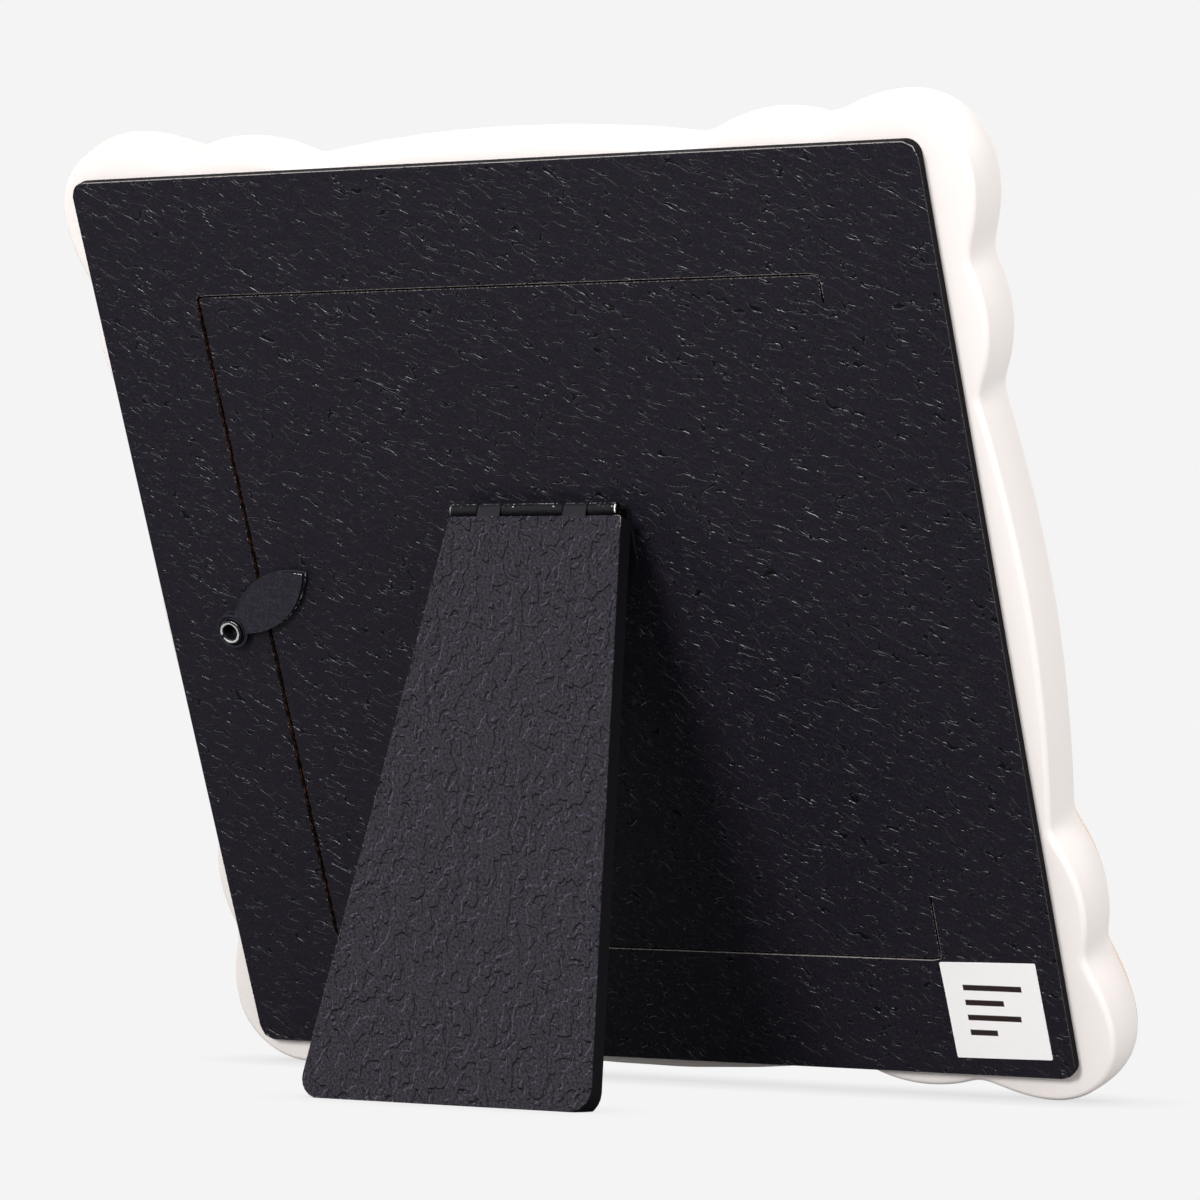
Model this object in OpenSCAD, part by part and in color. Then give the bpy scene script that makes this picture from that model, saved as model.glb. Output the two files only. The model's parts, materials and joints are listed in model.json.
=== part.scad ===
// Standing photo frame with a scalloped moulding, a paper-hinged rear door,
// a turn button and a hinged strut. Millimetres, +Z up. The frame stands on z = 0
// and faces -Y; the strut opens towards +Y. The origin is the bottom centre of the box.

/* [Photo stack] */
// Side of the square print
photo_side = 100; // [80:1:130]
// Gap between the print and the rebate wall, on each side
photo_gap = 0.5; // [0.3:0.1:1.5]
// Thickness of the glass
glass_t = 2; // [1:0.1:3]
// Thickness of the print
print_t = 0.3; // [0.2:0.05:0.6]
// Thickness of the filler card behind the print
filler_t = 1.5; // [0.8:0.1:2.5]
// Free depth between the filler card and the door
stack_play = 0.2; // [0.1:0.05:0.6]
// Width of glass that the moulding's lip covers, on each side
lip_lap = 4; // [2:0.5:8]

/* [Moulding] */
// Outward reach past the board's edge at the shallow notches beside the long lobe
notch_reach = 1.1; // [0.6:0.1:4]
// Further reach of the deep notches beside the corner lobes
notch_step = 1.8; // [0:0.1:3]
// Length of a small lobe, measured along the side
small_lobe_w = 20.3; // [14:0.1:24]
// Height of a small lobe over its chord
small_lobe_h = 2.45; // [1:0.05:4]
// Height of a long lobe over its chord
long_lobe_h = 2.6; // [1:0.05:5]
// Run of a corner lobe from its notch to the start of the corner arc
corner_flank_w = 11.8; // [8:0.1:16]
// Height of a corner lobe over its notch
corner_lobe_h = 3.2; // [2:0.1:5]
// Radius of the arc that turns the corner
corner_r = 11.6; // [8:0.1:16]
// How much less tall than wide the cast moulding is
cast_sag = 1.6; // [0:0.1:4]
// How far the casting's top edge has shifted sideways against its middle
cast_skew = 0.35; // [-1:0.05:1]
// Depth from the back land to the widest outline
wall_d = 5.85; // [4:0.05:9]
// Lean of the wall: how far the land's edge lies inside the widest outline
wall_draft = 0.6; // [0.2:0.05:0.9]
// Radius that breaks the edge of the back land
land_edge_r = 0.8; // [0.4:0.05:1.5]
// Rise of the domed front above the widest outline
dome_h = 7.65; // [5:0.05:12]
// Part of a half turn that the dome's section runs through before the opening
dome_turn = 150; // [120:1:165]

/* [Back board] */
// Thickness of the pressed board under the paper
board_core_t = 1.4; // [1:0.1:3]
// Thickness of the embossed paper on the board, the door and the strut
paper_t = 0.2; // [0.1:0.05:0.4]
// Width of board around the door
board_margin = 18.65; // [17:0.05:22]
// Radius of the board's corners
board_r = 2.2; // [0.5:0.1:6]
// Sideways offset of the glued board from the middle of the moulding
board_dx = 1.2; // [-3:0.1:3]
// Upward offset of the glued board from the middle of the moulding
board_dz = 0; // [-2:0.1:2]
// Lap of the door over the rebate, on each side
door_lap = 1.85; // [1:0.05:4]
// Width of the cut around the door
door_cut = 0.3; // [0.2:0.05:0.8]

/* [Label] */
// Side of the blank square label
label_side = 15.4; // [8:0.1:16]
// Thickness of the label
label_t = 0.1; // [0.05:0.01:0.2]
// Distance from the door's lower corner to the label, both ways
label_gap = 0.5; // [0.4:0.05:1.2]

/* [Turn button] */
// Distance of the rivet from the door's edge
button_edge = 6.15; // [5:0.05:8]
// Height of the rivet over the middle of the board
button_dz = -0.7; // [-30:0.1:30]
// Distance from the rivet to the leaf's tip
leaf_reach = 17.7; // [14:0.1:22]
// Widest part of the leaf
leaf_w = 7.3; // [6:0.1:9]
// Thickness of the leaf
leaf_t = 1; // [0.6:0.1:2]
// Height of the leaf's underside over the paper
leaf_lift = 0.45; // [0.3:0.05:1]
// Angle at which the leaf points up over the door's edge
leaf_angle = 31.5; // [-60:0.5:60]
// Outer diameter of the hub around the rivet
hub_d = 5.3; // [4.6:0.1:7]
// Gap between the hub and the paper, and between the hub and the rivet's lip
hub_gap = 0.05; // [0.03:0.01:0.1]

/* [Button rivet] */
// Outer diameter of the tubular rivet
rivet_d = 2.9; // [2.2:0.1:3.2]
// Wall of the tubular rivet
rivet_wall = 0.25; // [0.15:0.05:0.4]
// Radius of the rolled lip's section
lip_r = 0.32; // [0.2:0.02:0.45]
// Radial running clearance of the button on the rivet
button_play = 0.05; // [0.02:0.01:0.1]
// Reach of the clinched inner end past the tube
clinch_reach = 0.5; // [0.3:0.05:1]
// Depth of the clinched inner end
clinch_t = 0.35; // [0.2:0.05:0.6]

/* [Strut hinge] */
// Length of the barrel
barrel_l = 28.1; // [24:0.1:36]
// Diameter of the pin
pin_d = 1.2; // [0.8:0.05:1.6]
// Thickness of the hinge's sheet steel
sheet_t = 0.35; // [0.3:0.025:0.6]
// Radial running clearance of the moving loops on the pin
pin_play = 0.05; // [0.02:0.01:0.1]
// Gap between neighbouring knuckles
knuckle_gap = 0.15; // [0.1:0.05:0.4]
// Width of a moving loop
loop_w = 3.9; // [3:0.1:7]
// Distance of each moving loop from the middle
loop_x = 7.3; // [5.5:0.1:9]
// Height of the barrel's axis over the board's middle
hinge_dz = 19.05; // [5:0.05:30]
// Sideways offset of the hinge from the board's middle
hinge_dx = -0.7; // [-3:0.1:3]
// Length of the fixed leaf below the axis
fixed_leaf_l = 13; // [11:0.1:20]
// Radius of the leaves' lower corners
hinge_leaf_r = 4.5; // [1:0.1:6]
// Length of the moving leaf below the axis
moving_leaf_l = 12; // [10:0.1:18]
// Width of strut board beside the moving leaf at the strut's top, on each side
leaf_margin = 1.75; // [1.2:0.05:3]
// Distance of the hinge rivets from the middle
hinge_rivet_x = 8.5; // [6:0.1:10]
// Distance of the hinge rivets below the axis
hinge_rivet_l = 7.5; // [6:0.1:8]
// Shank diameter of the hinge rivets
hinge_rivet_d = 2; // [1.4:0.1:2.4]
// Head diameter of the hinge rivets
hinge_head_d = 3.6; // [3:0.1:4.4]
// Height of the fixed leaf's rivet heads
hinge_head_t = 0.3; // [0.2:0.05:0.4]

/* [Strut] */
// Length of the strut from the barrel's axis to its foot
strut_l = 88.8; // [70:0.1:92]
// Width of the strut at its top
strut_top_w = 29.1; // [28.5:0.1:36]
// Width of the strut at its foot
strut_foot_w = 48.9; // [36:0.1:60]
// Thickness of the strut's board
strut_core_t = 2.875; // [2.3:0.025:4]
// Sideways offset of the strut's board from the middle of the hinge
strut_dx = -0.8; // [-1:0.1:1]
// Radius of the strut's lower corners
strut_r = 3.2; // [1:0.1:8]
// Distance from the barrel's axis to the strut's top edge
strut_top_gap = 1.3; // [1.2:0.05:2.5]
// Free space between the folded strut and the rivet heads under it
fold_gap = 0.3; // [0.3:0.05:1]
// Angle between the opened strut and the board
open_angle = 38.5; // [32:0.5:44]

/* [Hidden] */

cut = 1;
steps = 6;
round_fn = 48;
lip_fn = 24;

// Photo stack
rebate_side = photo_side + 2 * photo_gap;
sight_side = photo_side - 2 * lip_lap;
sight_r = 3;
rebate_r = 0.2;
rebate_d = glass_t + print_t + filler_t + stack_play;

// Board and door
board_t = board_core_t + paper_t;
door_side = rebate_side + 2 * door_lap;
board_side = door_side + 2 * board_margin;
door_opening = door_side + 2 * door_cut;
door_r = 0.6;

// Moulding outline, one eighth of a turn: x runs along the side from its middle
// and y runs outwards. Each lobe is an arc; the corner lobe is a flank and a corner arc.
outline_y = board_side / 2 + notch_reach;
corner_c = outline_y + notch_step + corner_lobe_h - corner_r;
notch_b = [corner_c - corner_flank_w, outline_y + notch_step];
notch_a = [notch_b.x - small_lobe_w, outline_y];
tall_share = 1 - cast_sag / (2 * (corner_c + corner_r));
skew_share = cast_skew / (corner_c + corner_r);
flank_r = (pow(corner_flank_w, 2) + pow(corner_lobe_h, 2)) / (2 * corner_lobe_h);
flank_c = [corner_c, corner_c + corner_r - flank_r];
small_arc = lobe(notch_a, notch_b, small_lobe_h);
long_arc = lobe([-notch_a.x, notch_a.y], notch_a, long_lobe_h);
land_edge_turns = [0, 50];
long_steps = 8;
small_steps = 7;
flank_steps = 4;
corner_steps = 5;

// Dome of the front: rings from the widest outline to the edge of the opening
dome_rings = 11;
dome_power = 0.75;

// Strut hinge
knuckle_r = pin_d / 2 + sheet_t + pin_play;
tongue_in = knuckle_r - sheet_t;
outer_face = knuckle_r + paper_t;
inner_face = outer_face - paper_t - strut_core_t;
axis_h = -inner_face + fold_gap + hinge_head_t + sheet_t;
axis_y = board_t + axis_h;
axis_z = board_dz + hinge_dz;
moving_leaf_w = strut_top_w - 2 * leaf_margin;
leaf_play = 0.1;
strut_top_r = 0.4;
tongue_lap = 0.6;
head_rim = 0.12;

// Stance: the lean brings the moulding's lower edge and the strut's foot to one level
foot_y = axis_y + strut_l * sin(open_angle) + outer_face * cos(open_angle);
foot_z = axis_z - strut_l * cos(open_angle) + outer_face * sin(open_angle);
heel_y = -land_edge_r;
heel_z = -(corner_c + corner_r - wall_draft) * tall_share;
lean = atan2(foot_z - heel_z, foot_y - heel_y);
panel_z = heel_y * sin(lean) - heel_z * cos(lean);
front_y = min([for (ring = mould_rings()) for (p = ring) p.y * cos(lean) + p.z * sin(lean)]);
back_y = foot_y * cos(lean) + foot_z * sin(lean);
panel_y = -(front_y + back_y) / 2;

// Turn button and its rivet
button_x = door_side / 2 + button_edge;
bore_r = rivet_d / 2 + button_play;
hub_top = leaf_lift + leaf_t;
leaf_half_l = leaf_reach / 2;
leaf_r = (pow(leaf_half_l, 2) + pow(leaf_w / 2, 2)) / leaf_w;
lip_y = hub_top + hub_gap + lip_r;

function unit(v) = v / norm(v);

function polar(c, r, a) = c + r * [cos(a), sin(a)];

// Points of an arc about c, from angle a to angle b
function arc(c, r, a, b, n) = [for (i = [0 : n]) polar(c, r, a + (b - a) * i / n)];

// A polygon's corner b between a and c, rounded with radius r
function round_corner(a, b, c, r) =
    let (u = unit(a - b), w = unit(c - b), half = acos(u * w) / 2)
    let (m = b + unit(u + w) * r / sin(half), s = b + u * r / tan(half) - m)
    let (e = b + w * r / tan(half) - m, start = atan2(s.y, s.x))
    let (turn = atan2(s.x * e.y - s.y * e.x, s * e))
    arc(m, r, start, start + turn, steps);

// A closed outline with a radius at each of its points
function rounded(pts, radii) =
    let (n = len(pts))
    [for (i = [0 : n - 1]) each radii[i] > 0
        ? round_corner(pts[(i + n - 1) % n], pts[i], pts[(i + 1) % n], radii[i])
        : [pts[i]]];

function square_pts(side) = [for (s = [[-1, -1], [1, -1], [1, 1], [-1, 1]]) s * side / 2];

// Centre and radius of the arc of height h over the chord from a to b
function lobe(a, b, h) =
    let (c = norm(b - a), r = (c * c / 4 + h * h) / (2 * h), u = unit(b - a))
    [(a + b) / 2 - (r - h) * [-u.y, u.x], r];

// Outer crossing of two circles, given as [centre, radius]
function crossing(a, b) =
    let (d = norm(b[0] - a[0]), u = (b[0] - a[0]) / d)
    let (k = (d * d + a[1] * a[1] - b[1] * b[1]) / (2 * d), h = sqrt(a[1] * a[1] - k * k))
    a[0] + k * u + h * [-u.y, u.x];

function heading(c, p) = atan2(p.y - c.y, p.x - c.x);

// The same eighth of the outline, moved inwards by inset
function eighth(inset) =
    let (long = [long_arc[0], long_arc[1] - inset], small = [small_arc[0], small_arc[1] - inset])
    let (flank = [flank_c, flank_r - inset], centre = [corner_c, corner_c])
    let (a = crossing(long, small), b = crossing(small, flank))
    concat(
        arc(long[0], long[1], 90, heading(long[0], a), long_steps),
        skip_first(arc(small[0], small[1], heading(small[0], a), heading(small[0], b), small_steps)),
        skip_first(arc(flank[0], flank[1], heading(flank[0], b), 90, flank_steps)),
        skip_first(arc(centre, corner_r - inset, 90, 45, corner_steps)));

function skip_first(list) = [for (i = [1 : len(list) - 1]) list[i]];

// One side from corner to corner: the eighth mirrored, then the eighth, corner shared
function one_side(inset) =
    let (half = eighth(inset), n = len(half))
    concat([for (i = [1 : n - 1]) [-half[n - i].x, half[n - i].y]], [for (i = [0 : n - 2]) half[i]]);

function turned(p, a) = [p.x * cos(a) - p.y * sin(a), p.x * sin(a) + p.y * cos(a)];

function outline(inset) = [for (k = [0 : 3]) for (p = one_side(inset))
    let (q = turned(p, -90 * k)) [q.x - q.y * skew_share, q.y * tall_share]];

// Distance from the middle to a rounded square, along the ray through p
function square_reach(p, h, r) =
    let (u = [abs(p.x), abs(p.y)] / norm(p), flat = h / max(u.x, u.y), c = [h - r, h - r])
    min(flat * u) <= h - r ? flat : c * u + sqrt(pow(c * u, 2) - c * c + r * r);

// The outline pulled by share t onto a rounded square of half side h
function drawn_in(t, h, r) = [for (p = outline(0)) p * (1 - t + t * square_reach(p, h, r) / norm(p))];

function ring_at(y, pts) = [for (p = pts) [p.x, y, p.y]];

function dome_ring(i) =
    let (a = dome_turn * i / dome_rings, t = (1 - cos(a)) / (1 - cos(dome_turn)))
    ring_at(-wall_d - dome_h * pow(sin(a), dome_power), drawn_in(t, sight_side / 2, sight_r));

// Rings of the moulding: from the back land over its edge, the wall and the dome
// to the opening, then back along the opening and the rebate to the land
function mould_rings() = concat(
    [for (a = land_edge_turns)
        ring_at(-land_edge_r * (1 - cos(a)), outline(wall_draft + land_edge_r * (1 - sin(a))))],
    [ring_at(-land_edge_r, outline(wall_draft)), ring_at(-wall_d, outline(0))],
    [for (i = [1 : dome_rings]) dome_ring(i)],
    [ring_at(-rebate_d, drawn_in(1, sight_side / 2, sight_r)),
     ring_at(-rebate_d, drawn_in(1, rebate_side / 2, rebate_r)),
     ring_at(0, drawn_in(1, rebate_side / 2, rebate_r))]);

// A closed skin over rings that lead back to the first ring
module loft(rings) {
    n = len(rings[0]);
    m = len(rings);
    polyhedron([for (ring = rings) each ring], [for (k = [0 : m - 1]) for (i = [0 : n - 1])
        each let (j = (i + 1) % n, next = (k + 1) % m)
            [[k * n + i, k * n + j, next * n + j], [k * n + i, next * n + j, next * n + i]]]);
}

// A flat piece drawn in x and z, from depth y0 back to y0 + t
module slab(y0, t) {
    translate([0, y0 + t, 0]) rotate([90, 0, 0]) linear_extrude(t) children();
}

// A round bar along +Y, from depth y0 to y0 + t
module peg(r, y0, t) {
    translate([0, y0, 0]) rotate([-90, 0, 0]) cylinder(r = r, h = t, $fn = round_fn);
}

// A round bar along X, from x0 to x0 + l
module rod(r, x0, l) {
    translate([x0, 0, 0]) rotate([0, 90, 0]) cylinder(r = r, h = l, $fn = round_fn);
}

module on_panel() {
    translate([0, panel_y, panel_z]) rotate([-lean, 0, 0]) children();
}

module on_board() {
    on_panel() translate([board_dx, 0, board_dz]) children();
}

// At the hinge axis, upright with the board
module on_hinge() {
    on_board() translate([hinge_dx, axis_y, hinge_dz]) children();
}

// At the hinge axis, turned with the opened strut: -z runs down the strut, +y is outside
module on_strut() {
    on_hinge() rotate([open_angle, 0, 0]) children();
}

// At the button's rivet, with y = 0 on the paper
module on_button() {
    on_board() translate([button_x, board_t, button_dz]) children();
}

module square_2d(side, r) {
    polygon(rounded(square_pts(side), [r, r, r, r]));
}

module ring_2d() {
    difference() {
        square_2d(board_side, board_r);
        square_2d(door_opening, door_r + door_cut);
    }
}

module moulding() {
    color([0.96, 0.93, 0.91]) on_panel() loft(mould_rings());
}

module glass_pane() {
    color([0.8, 0.88, 0.88, 0.4]) on_panel()
        slab(-rebate_d, glass_t) square(photo_side, center = true);
}

module photo_print() {
    color([0.9, 0.89, 0.86]) on_panel()
        slab(-rebate_d + glass_t, print_t) square(photo_side, center = true);
}

module filler_card() {
    color([0.66, 0.62, 0.56]) on_panel()
        slab(-stack_play - filler_t, filler_t) square(photo_side, center = true);
}

module back_board() {
    color([0.14, 0.12, 0.14]) on_board() difference() {
        slab(0, board_core_t) ring_2d();
        translate([button_x, 0, button_dz]) {
            peg(rivet_d / 2, -cut, board_core_t + 2 * cut);
            peg(rivet_d / 2 + clinch_reach, -cut, cut + clinch_t);
        }
    }
}

module back_cover() {
    color([0.1, 0.09, 0.12]) on_board() difference() {
        slab(board_core_t, paper_t) ring_2d();
        translate([button_x, 0, button_dz]) peg(rivet_d / 2, -cut, board_t + 2 * cut);
    }
}

module label() {
    place = door_side / 2 + label_gap + label_side / 2;
    color("white") on_board() translate([-place, 0, -place])
        slab(board_t, label_t) square(label_side, center = true);
}

module at_hinge_rivets() {
    for (side = [-1, 1]) translate([side * hinge_rivet_x, 0, -hinge_rivet_l]) children();
}

module door_board() {
    color([0.2, 0.16, 0.15]) on_board() difference() {
        slab(0, board_core_t) square_2d(door_side, door_r);
        translate([hinge_dx, 0, hinge_dz]) at_hinge_rivets() {
            peg(hinge_rivet_d / 2, -cut, board_core_t + 2 * cut);
            peg(hinge_rivet_d / 2 + clinch_reach, -cut, cut + clinch_t);
        }
    }
}

module door_cover() {
    color([0.12, 0.11, 0.14]) on_board() difference() {
        slab(board_core_t, paper_t) square_2d(door_side, door_r);
        translate([hinge_dx, 0, hinge_dz]) at_hinge_rivets()
            peg(hinge_rivet_d / 2, -cut, board_t + 2 * cut);
    }
}

// Tube through the board: clinched at the inner end, rolled over the button's hub
module button_rivet() {
    tube_r = rivet_d / 2;
    inner_r = tube_r - rivet_wall;
    color([0.16, 0.16, 0.17]) on_button() rotate([-90, 0, 0]) rotate_extrude($fn = round_fn) {
        translate([inner_r, -board_t]) square([rivet_wall, board_t + lip_y]);
        translate([inner_r, -board_t]) square([rivet_wall + clinch_reach, clinch_t]);
        translate([tube_r, lip_y]) circle(r = lip_r, $fn = lip_fn);
    }
}

// Pointed leaf between two arcs, with a round hub on the rivet
module turn_button() {
    arc_offset = leaf_r - leaf_w / 2;
    color([0.12, 0.12, 0.13]) on_button() rotate([0, leaf_angle, 0]) difference() {
        union() {
            peg(hub_d / 2, hub_gap, hub_top - hub_gap);
            intersection() {
                translate([-leaf_half_l, 0, arc_offset]) peg(leaf_r, leaf_lift, leaf_t);
                translate([-leaf_half_l, 0, -arc_offset]) peg(leaf_r, leaf_lift, leaf_t);
            }
        }
        peg(bore_r, -cut, hub_top + 2 * cut);
    }
}

// Middle and length of each fixed knuckle: one at each end and one between the loops
function fixed_spans() =
    let (inner = loop_x - loop_w / 2 - knuckle_gap, outer = loop_x + loop_w / 2 + knuckle_gap)
    [[-barrel_l / 2, -outer], [-inner, inner], [outer, barrel_l / 2]];

module leaf_2d(w, l, top) {
    polygon(rounded([[-w / 2, -l], [w / 2, -l], [w / 2, top], [-w / 2, top]],
        [hinge_leaf_r, hinge_leaf_r, 0, 0]));
}

// Plate on the door, bent up behind the barrel and curled round the pin
module hinge_fixed_leaf() {
    color([0.09, 0.09, 0.1]) on_hinge() difference() {
        union() {
            slab(-axis_h, sheet_t) leaf_2d(barrel_l, fixed_leaf_l, knuckle_r);
            for (span = fixed_spans()) {
                rod(knuckle_r, span[0], span[1] - span[0]);
                translate([span[0], -axis_h, knuckle_r - sheet_t])
                    cube([span[1] - span[0], axis_h, sheet_t]);
            }
        }
        rod(pin_d / 2, -barrel_l, 2 * barrel_l);
        at_hinge_rivets() peg(hinge_rivet_d / 2, -axis_h - cut, sheet_t + 2 * cut);
    }
}

module hinge_pin() {
    recess = 0.4;
    color([0.2, 0.2, 0.21]) on_hinge() rod(pin_d / 2, -barrel_l / 2 + recess, barrel_l - 2 * recess);
}

// Rivet with a flat head and a clinched end, from depth y0 for a grip g
module flat_rivet(y0, g, head_t) {
    peg(hinge_rivet_d / 2, y0, g);
    peg(hinge_rivet_d / 2 + clinch_reach, y0, clinch_t);
    peg(hinge_head_d / 2, y0 + g, head_t / 2);
    peg(hinge_head_d / 2 - head_rim, y0 + g, head_t);
}

module hinge_rivets() {
    color([0.13, 0.13, 0.14]) on_hinge() at_hinge_rivets()
        flat_rivet(-axis_y, board_t + sheet_t, hinge_head_t);
}

// Loops on the pin, with tongues into a plate under the strut's paper
module hinge_moving_leaf() {
    plate_top = strut_top_gap + tongue_lap;
    color([0.1, 0.1, 0.11]) on_strut() difference() {
        union() {
            slab(tongue_in, sheet_t) leaf_2d(moving_leaf_w, moving_leaf_l, -plate_top);
            for (side = [-1, 1]) {
                rod(knuckle_r, side * loop_x - loop_w / 2, loop_w);
                translate([side * loop_x - loop_w / 2, tongue_in, -plate_top - tongue_lap])
                    cube([loop_w, sheet_t, plate_top + tongue_lap]);
            }
        }
        rod(pin_d / 2 + pin_play, -barrel_l, 2 * barrel_l);
        at_hinge_rivets() peg(hinge_rivet_d / 2, tongue_in - cut, sheet_t + 2 * cut);
    }
}

// Strut seen flat: narrow at the hinge and wide at the foot
module strut_2d() {
    top = strut_top_w / 2;
    foot = strut_foot_w / 2;
    translate([strut_dx, 0]) polygon(rounded(
        [[-foot, -strut_l], [foot, -strut_l], [top, -strut_top_gap], [-top, -strut_top_gap]],
        [strut_r, strut_r, strut_top_r, strut_top_r]));
}

// The foot is cut level with the table, through its outer edge
module cut_at_table() {
    reach = 2 * strut_l;
    difference() {
        children();
        translate([0, outer_face, -strut_l]) rotate([lean - open_angle, 0, 0])
            translate([-reach, -reach, -reach]) cube([2 * reach, 2 * reach, reach]);
    }
}

module strut_blank(y0, t) {
    cut_at_table() slab(y0, t) strut_2d();
}

module strut_board() {
    color([0.11, 0.11, 0.12]) on_strut() difference() {
        strut_blank(inner_face, strut_core_t);
        slab(tongue_in, cut) leaf_2d(moving_leaf_w + 2 * leaf_play, moving_leaf_l + leaf_play, 0);
        at_hinge_rivets() {
            peg(hinge_rivet_d / 2, inner_face - cut, strut_core_t + cut);
            peg(hinge_rivet_d / 2 + clinch_reach, inner_face - cut, cut + clinch_t);
        }
    }
}

module strut_rivets() {
    grip = tongue_in + sheet_t - inner_face;
    color([0.2, 0.2, 0.21]) on_strut() at_hinge_rivets() {
        peg(hinge_rivet_d / 2, inner_face, grip);
        peg(hinge_rivet_d / 2 + clinch_reach, inner_face, clinch_t);
    }
}

module strut_cover() {
    color([0.22, 0.2, 0.24]) on_strut() strut_blank(outer_face - paper_t, paper_t);
}

moulding();
glass_pane();
photo_print();
filler_card();
back_board();
back_cover();
label();
door_board();
door_cover();
button_rivet();
turn_button();
hinge_fixed_leaf();
hinge_pin();
hinge_rivets();
hinge_moving_leaf();
strut_rivets();
strut_board();
strut_cover();
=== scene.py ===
# %% [markdown]
# # A standing photo frame and its finishes
# The object is a square photo frame that stands with its back towards us: a cast moulding with a
# scalloped edge, a black back of embossed paper over pressed board, a door that folds on its own
# paper, a turn button that keeps the door shut, and a hinged strut.
# The construction is already solved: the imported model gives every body, joint and size. This
# script gives each surface its finish, and replaces the plain solids whose real shape is finer
# than a workshop drawing needs.
# Lengths on the object are written in millimetres and turned into metres in one place only.

# %% Load the frame
import json
import math

import bmesh
import bpy
import numpy as np
from mathutils import Matrix, Quaternion, Vector


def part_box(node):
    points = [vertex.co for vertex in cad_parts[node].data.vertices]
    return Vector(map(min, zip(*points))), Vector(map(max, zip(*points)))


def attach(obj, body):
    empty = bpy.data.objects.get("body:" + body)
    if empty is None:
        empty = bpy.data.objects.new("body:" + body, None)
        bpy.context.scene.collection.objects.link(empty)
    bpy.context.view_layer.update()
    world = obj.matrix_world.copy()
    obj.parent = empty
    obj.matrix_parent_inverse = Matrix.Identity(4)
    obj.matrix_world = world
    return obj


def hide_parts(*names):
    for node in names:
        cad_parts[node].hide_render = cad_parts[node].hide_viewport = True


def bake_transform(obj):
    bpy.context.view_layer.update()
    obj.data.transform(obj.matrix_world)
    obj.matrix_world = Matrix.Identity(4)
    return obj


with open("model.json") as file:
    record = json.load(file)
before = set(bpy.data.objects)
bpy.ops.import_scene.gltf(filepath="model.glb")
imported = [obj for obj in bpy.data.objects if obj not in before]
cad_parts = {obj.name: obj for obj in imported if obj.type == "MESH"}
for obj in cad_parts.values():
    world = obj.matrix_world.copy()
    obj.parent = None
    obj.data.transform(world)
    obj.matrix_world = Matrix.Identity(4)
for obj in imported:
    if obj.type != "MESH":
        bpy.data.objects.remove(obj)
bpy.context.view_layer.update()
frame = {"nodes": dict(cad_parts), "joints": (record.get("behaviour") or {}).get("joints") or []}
MM = 0.001

# %% [markdown]
# ## Local axes for a leaning object
# Only the width of this object runs along an axis of the world: the panel leans back and the
# strut leans the other way. One could turn every piece after making it, but a finished piece
# must keep its object unturned. So each flat group gets a small set of axes of its own: x runs
# along the width, y out of the sheet, and z up the sheet. A joint already knows the panel's
# normal, because the button turns about it.

# %% Axes of the panel, the moulding and the strut
WIDTH_WAYS = np.array([1.0, 0.0, 0.0])
joints = {joint["name"]: joint for joint in frame["joints"]}


def node_points(node):
    """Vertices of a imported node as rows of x, y, z, in metres."""
    flat = np.empty(3 * len(frame["nodes"][node].data.vertices), np.float32)
    frame["nodes"][node].data.vertices.foreach_get("co", flat)
    return flat.reshape(-1, 3).astype(float)


class Axes:
    """An origin and three directions; points in between are in millimetres."""

    def __init__(self, origin, outward):
        self.origin = np.array(origin, float)
        self.outward = np.array(outward, float) / np.linalg.norm(outward)
        self.rows = np.array([WIDTH_WAYS, self.outward, np.cross(WIDTH_WAYS, self.outward)])

    def world(self, points):
        """Origin plus each coordinate times its direction."""
        return self.origin + MM * np.asarray(points, float) @ self.rows

    def box(self, node):
        """Lowest and highest corner of a node, measured along these axes."""
        local = (node_points(node) - self.origin) @ self.rows.T / MM
        return local.min(0), local.max(0)

    def moved(self, x, y, z):
        """The same directions at another origin, given in millimetres."""
        return Axes(self.world([x, y, z]), self.outward)

    @property
    def euler(self):
        """The turn from the world to these axes, as a Mapping node wants it."""
        return Matrix(self.rows.T.tolist()).to_euler()


def centred(node, outward):
    """Axes in the middle of a node's face that looks away from the normal."""
    rough = Axes((0, 0, 0), outward)
    low, high = rough.box(node)
    middle = (low + high) / 2
    return rough.moved(middle[0], low[1], middle[2])


panel_normal = joints["button_turn"]["axis"]
board = centred("back_board", panel_normal)
moulding_span = Axes(board.origin, panel_normal).box("moulding")
ring_middle = (moulding_span[0] + moulding_span[1]) / 2
ring = board.moved(ring_middle[0], 0, ring_middle[2])
strut_sheet = node_points("strut_cover")
strut_normal = np.linalg.svd(strut_sheet - strut_sheet.mean(0), full_matrices=False)[2][2]
strut = Axes(joints["strut_swing"]["pos_m"], strut_normal * np.sign(strut_normal[1]))
button = Axes(joints["button_turn"]["pos_m"], panel_normal)
hinge = Axes(joints["strut_swing"]["pos_m"], panel_normal)
lean = math.degrees(math.atan2(-board.outward[2], board.outward[1]))
print(f"the panel leans back {lean:.1f} degrees")

# %% [markdown]
# ## The camera
# The object is looked at from behind and a little to one side, from a few centimetres above the
# table and slightly upwards, with a long lens. A long lens from three quarters of a metre keeps
# the board's sides nearly parallel, which a short lens close by would not.

# %% Camera
CAMERA_DISTANCE = 0.7608
CAMERA_AZIMUTH = math.radians(210.264)
CAMERA_DIP = math.radians(1.386)
CAMERA_ROLL = math.radians(0.742)
CAMERA_LENS = 154.57
AIM_ASIDE, AIM_RAISED = 5.2, 3.6

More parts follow.
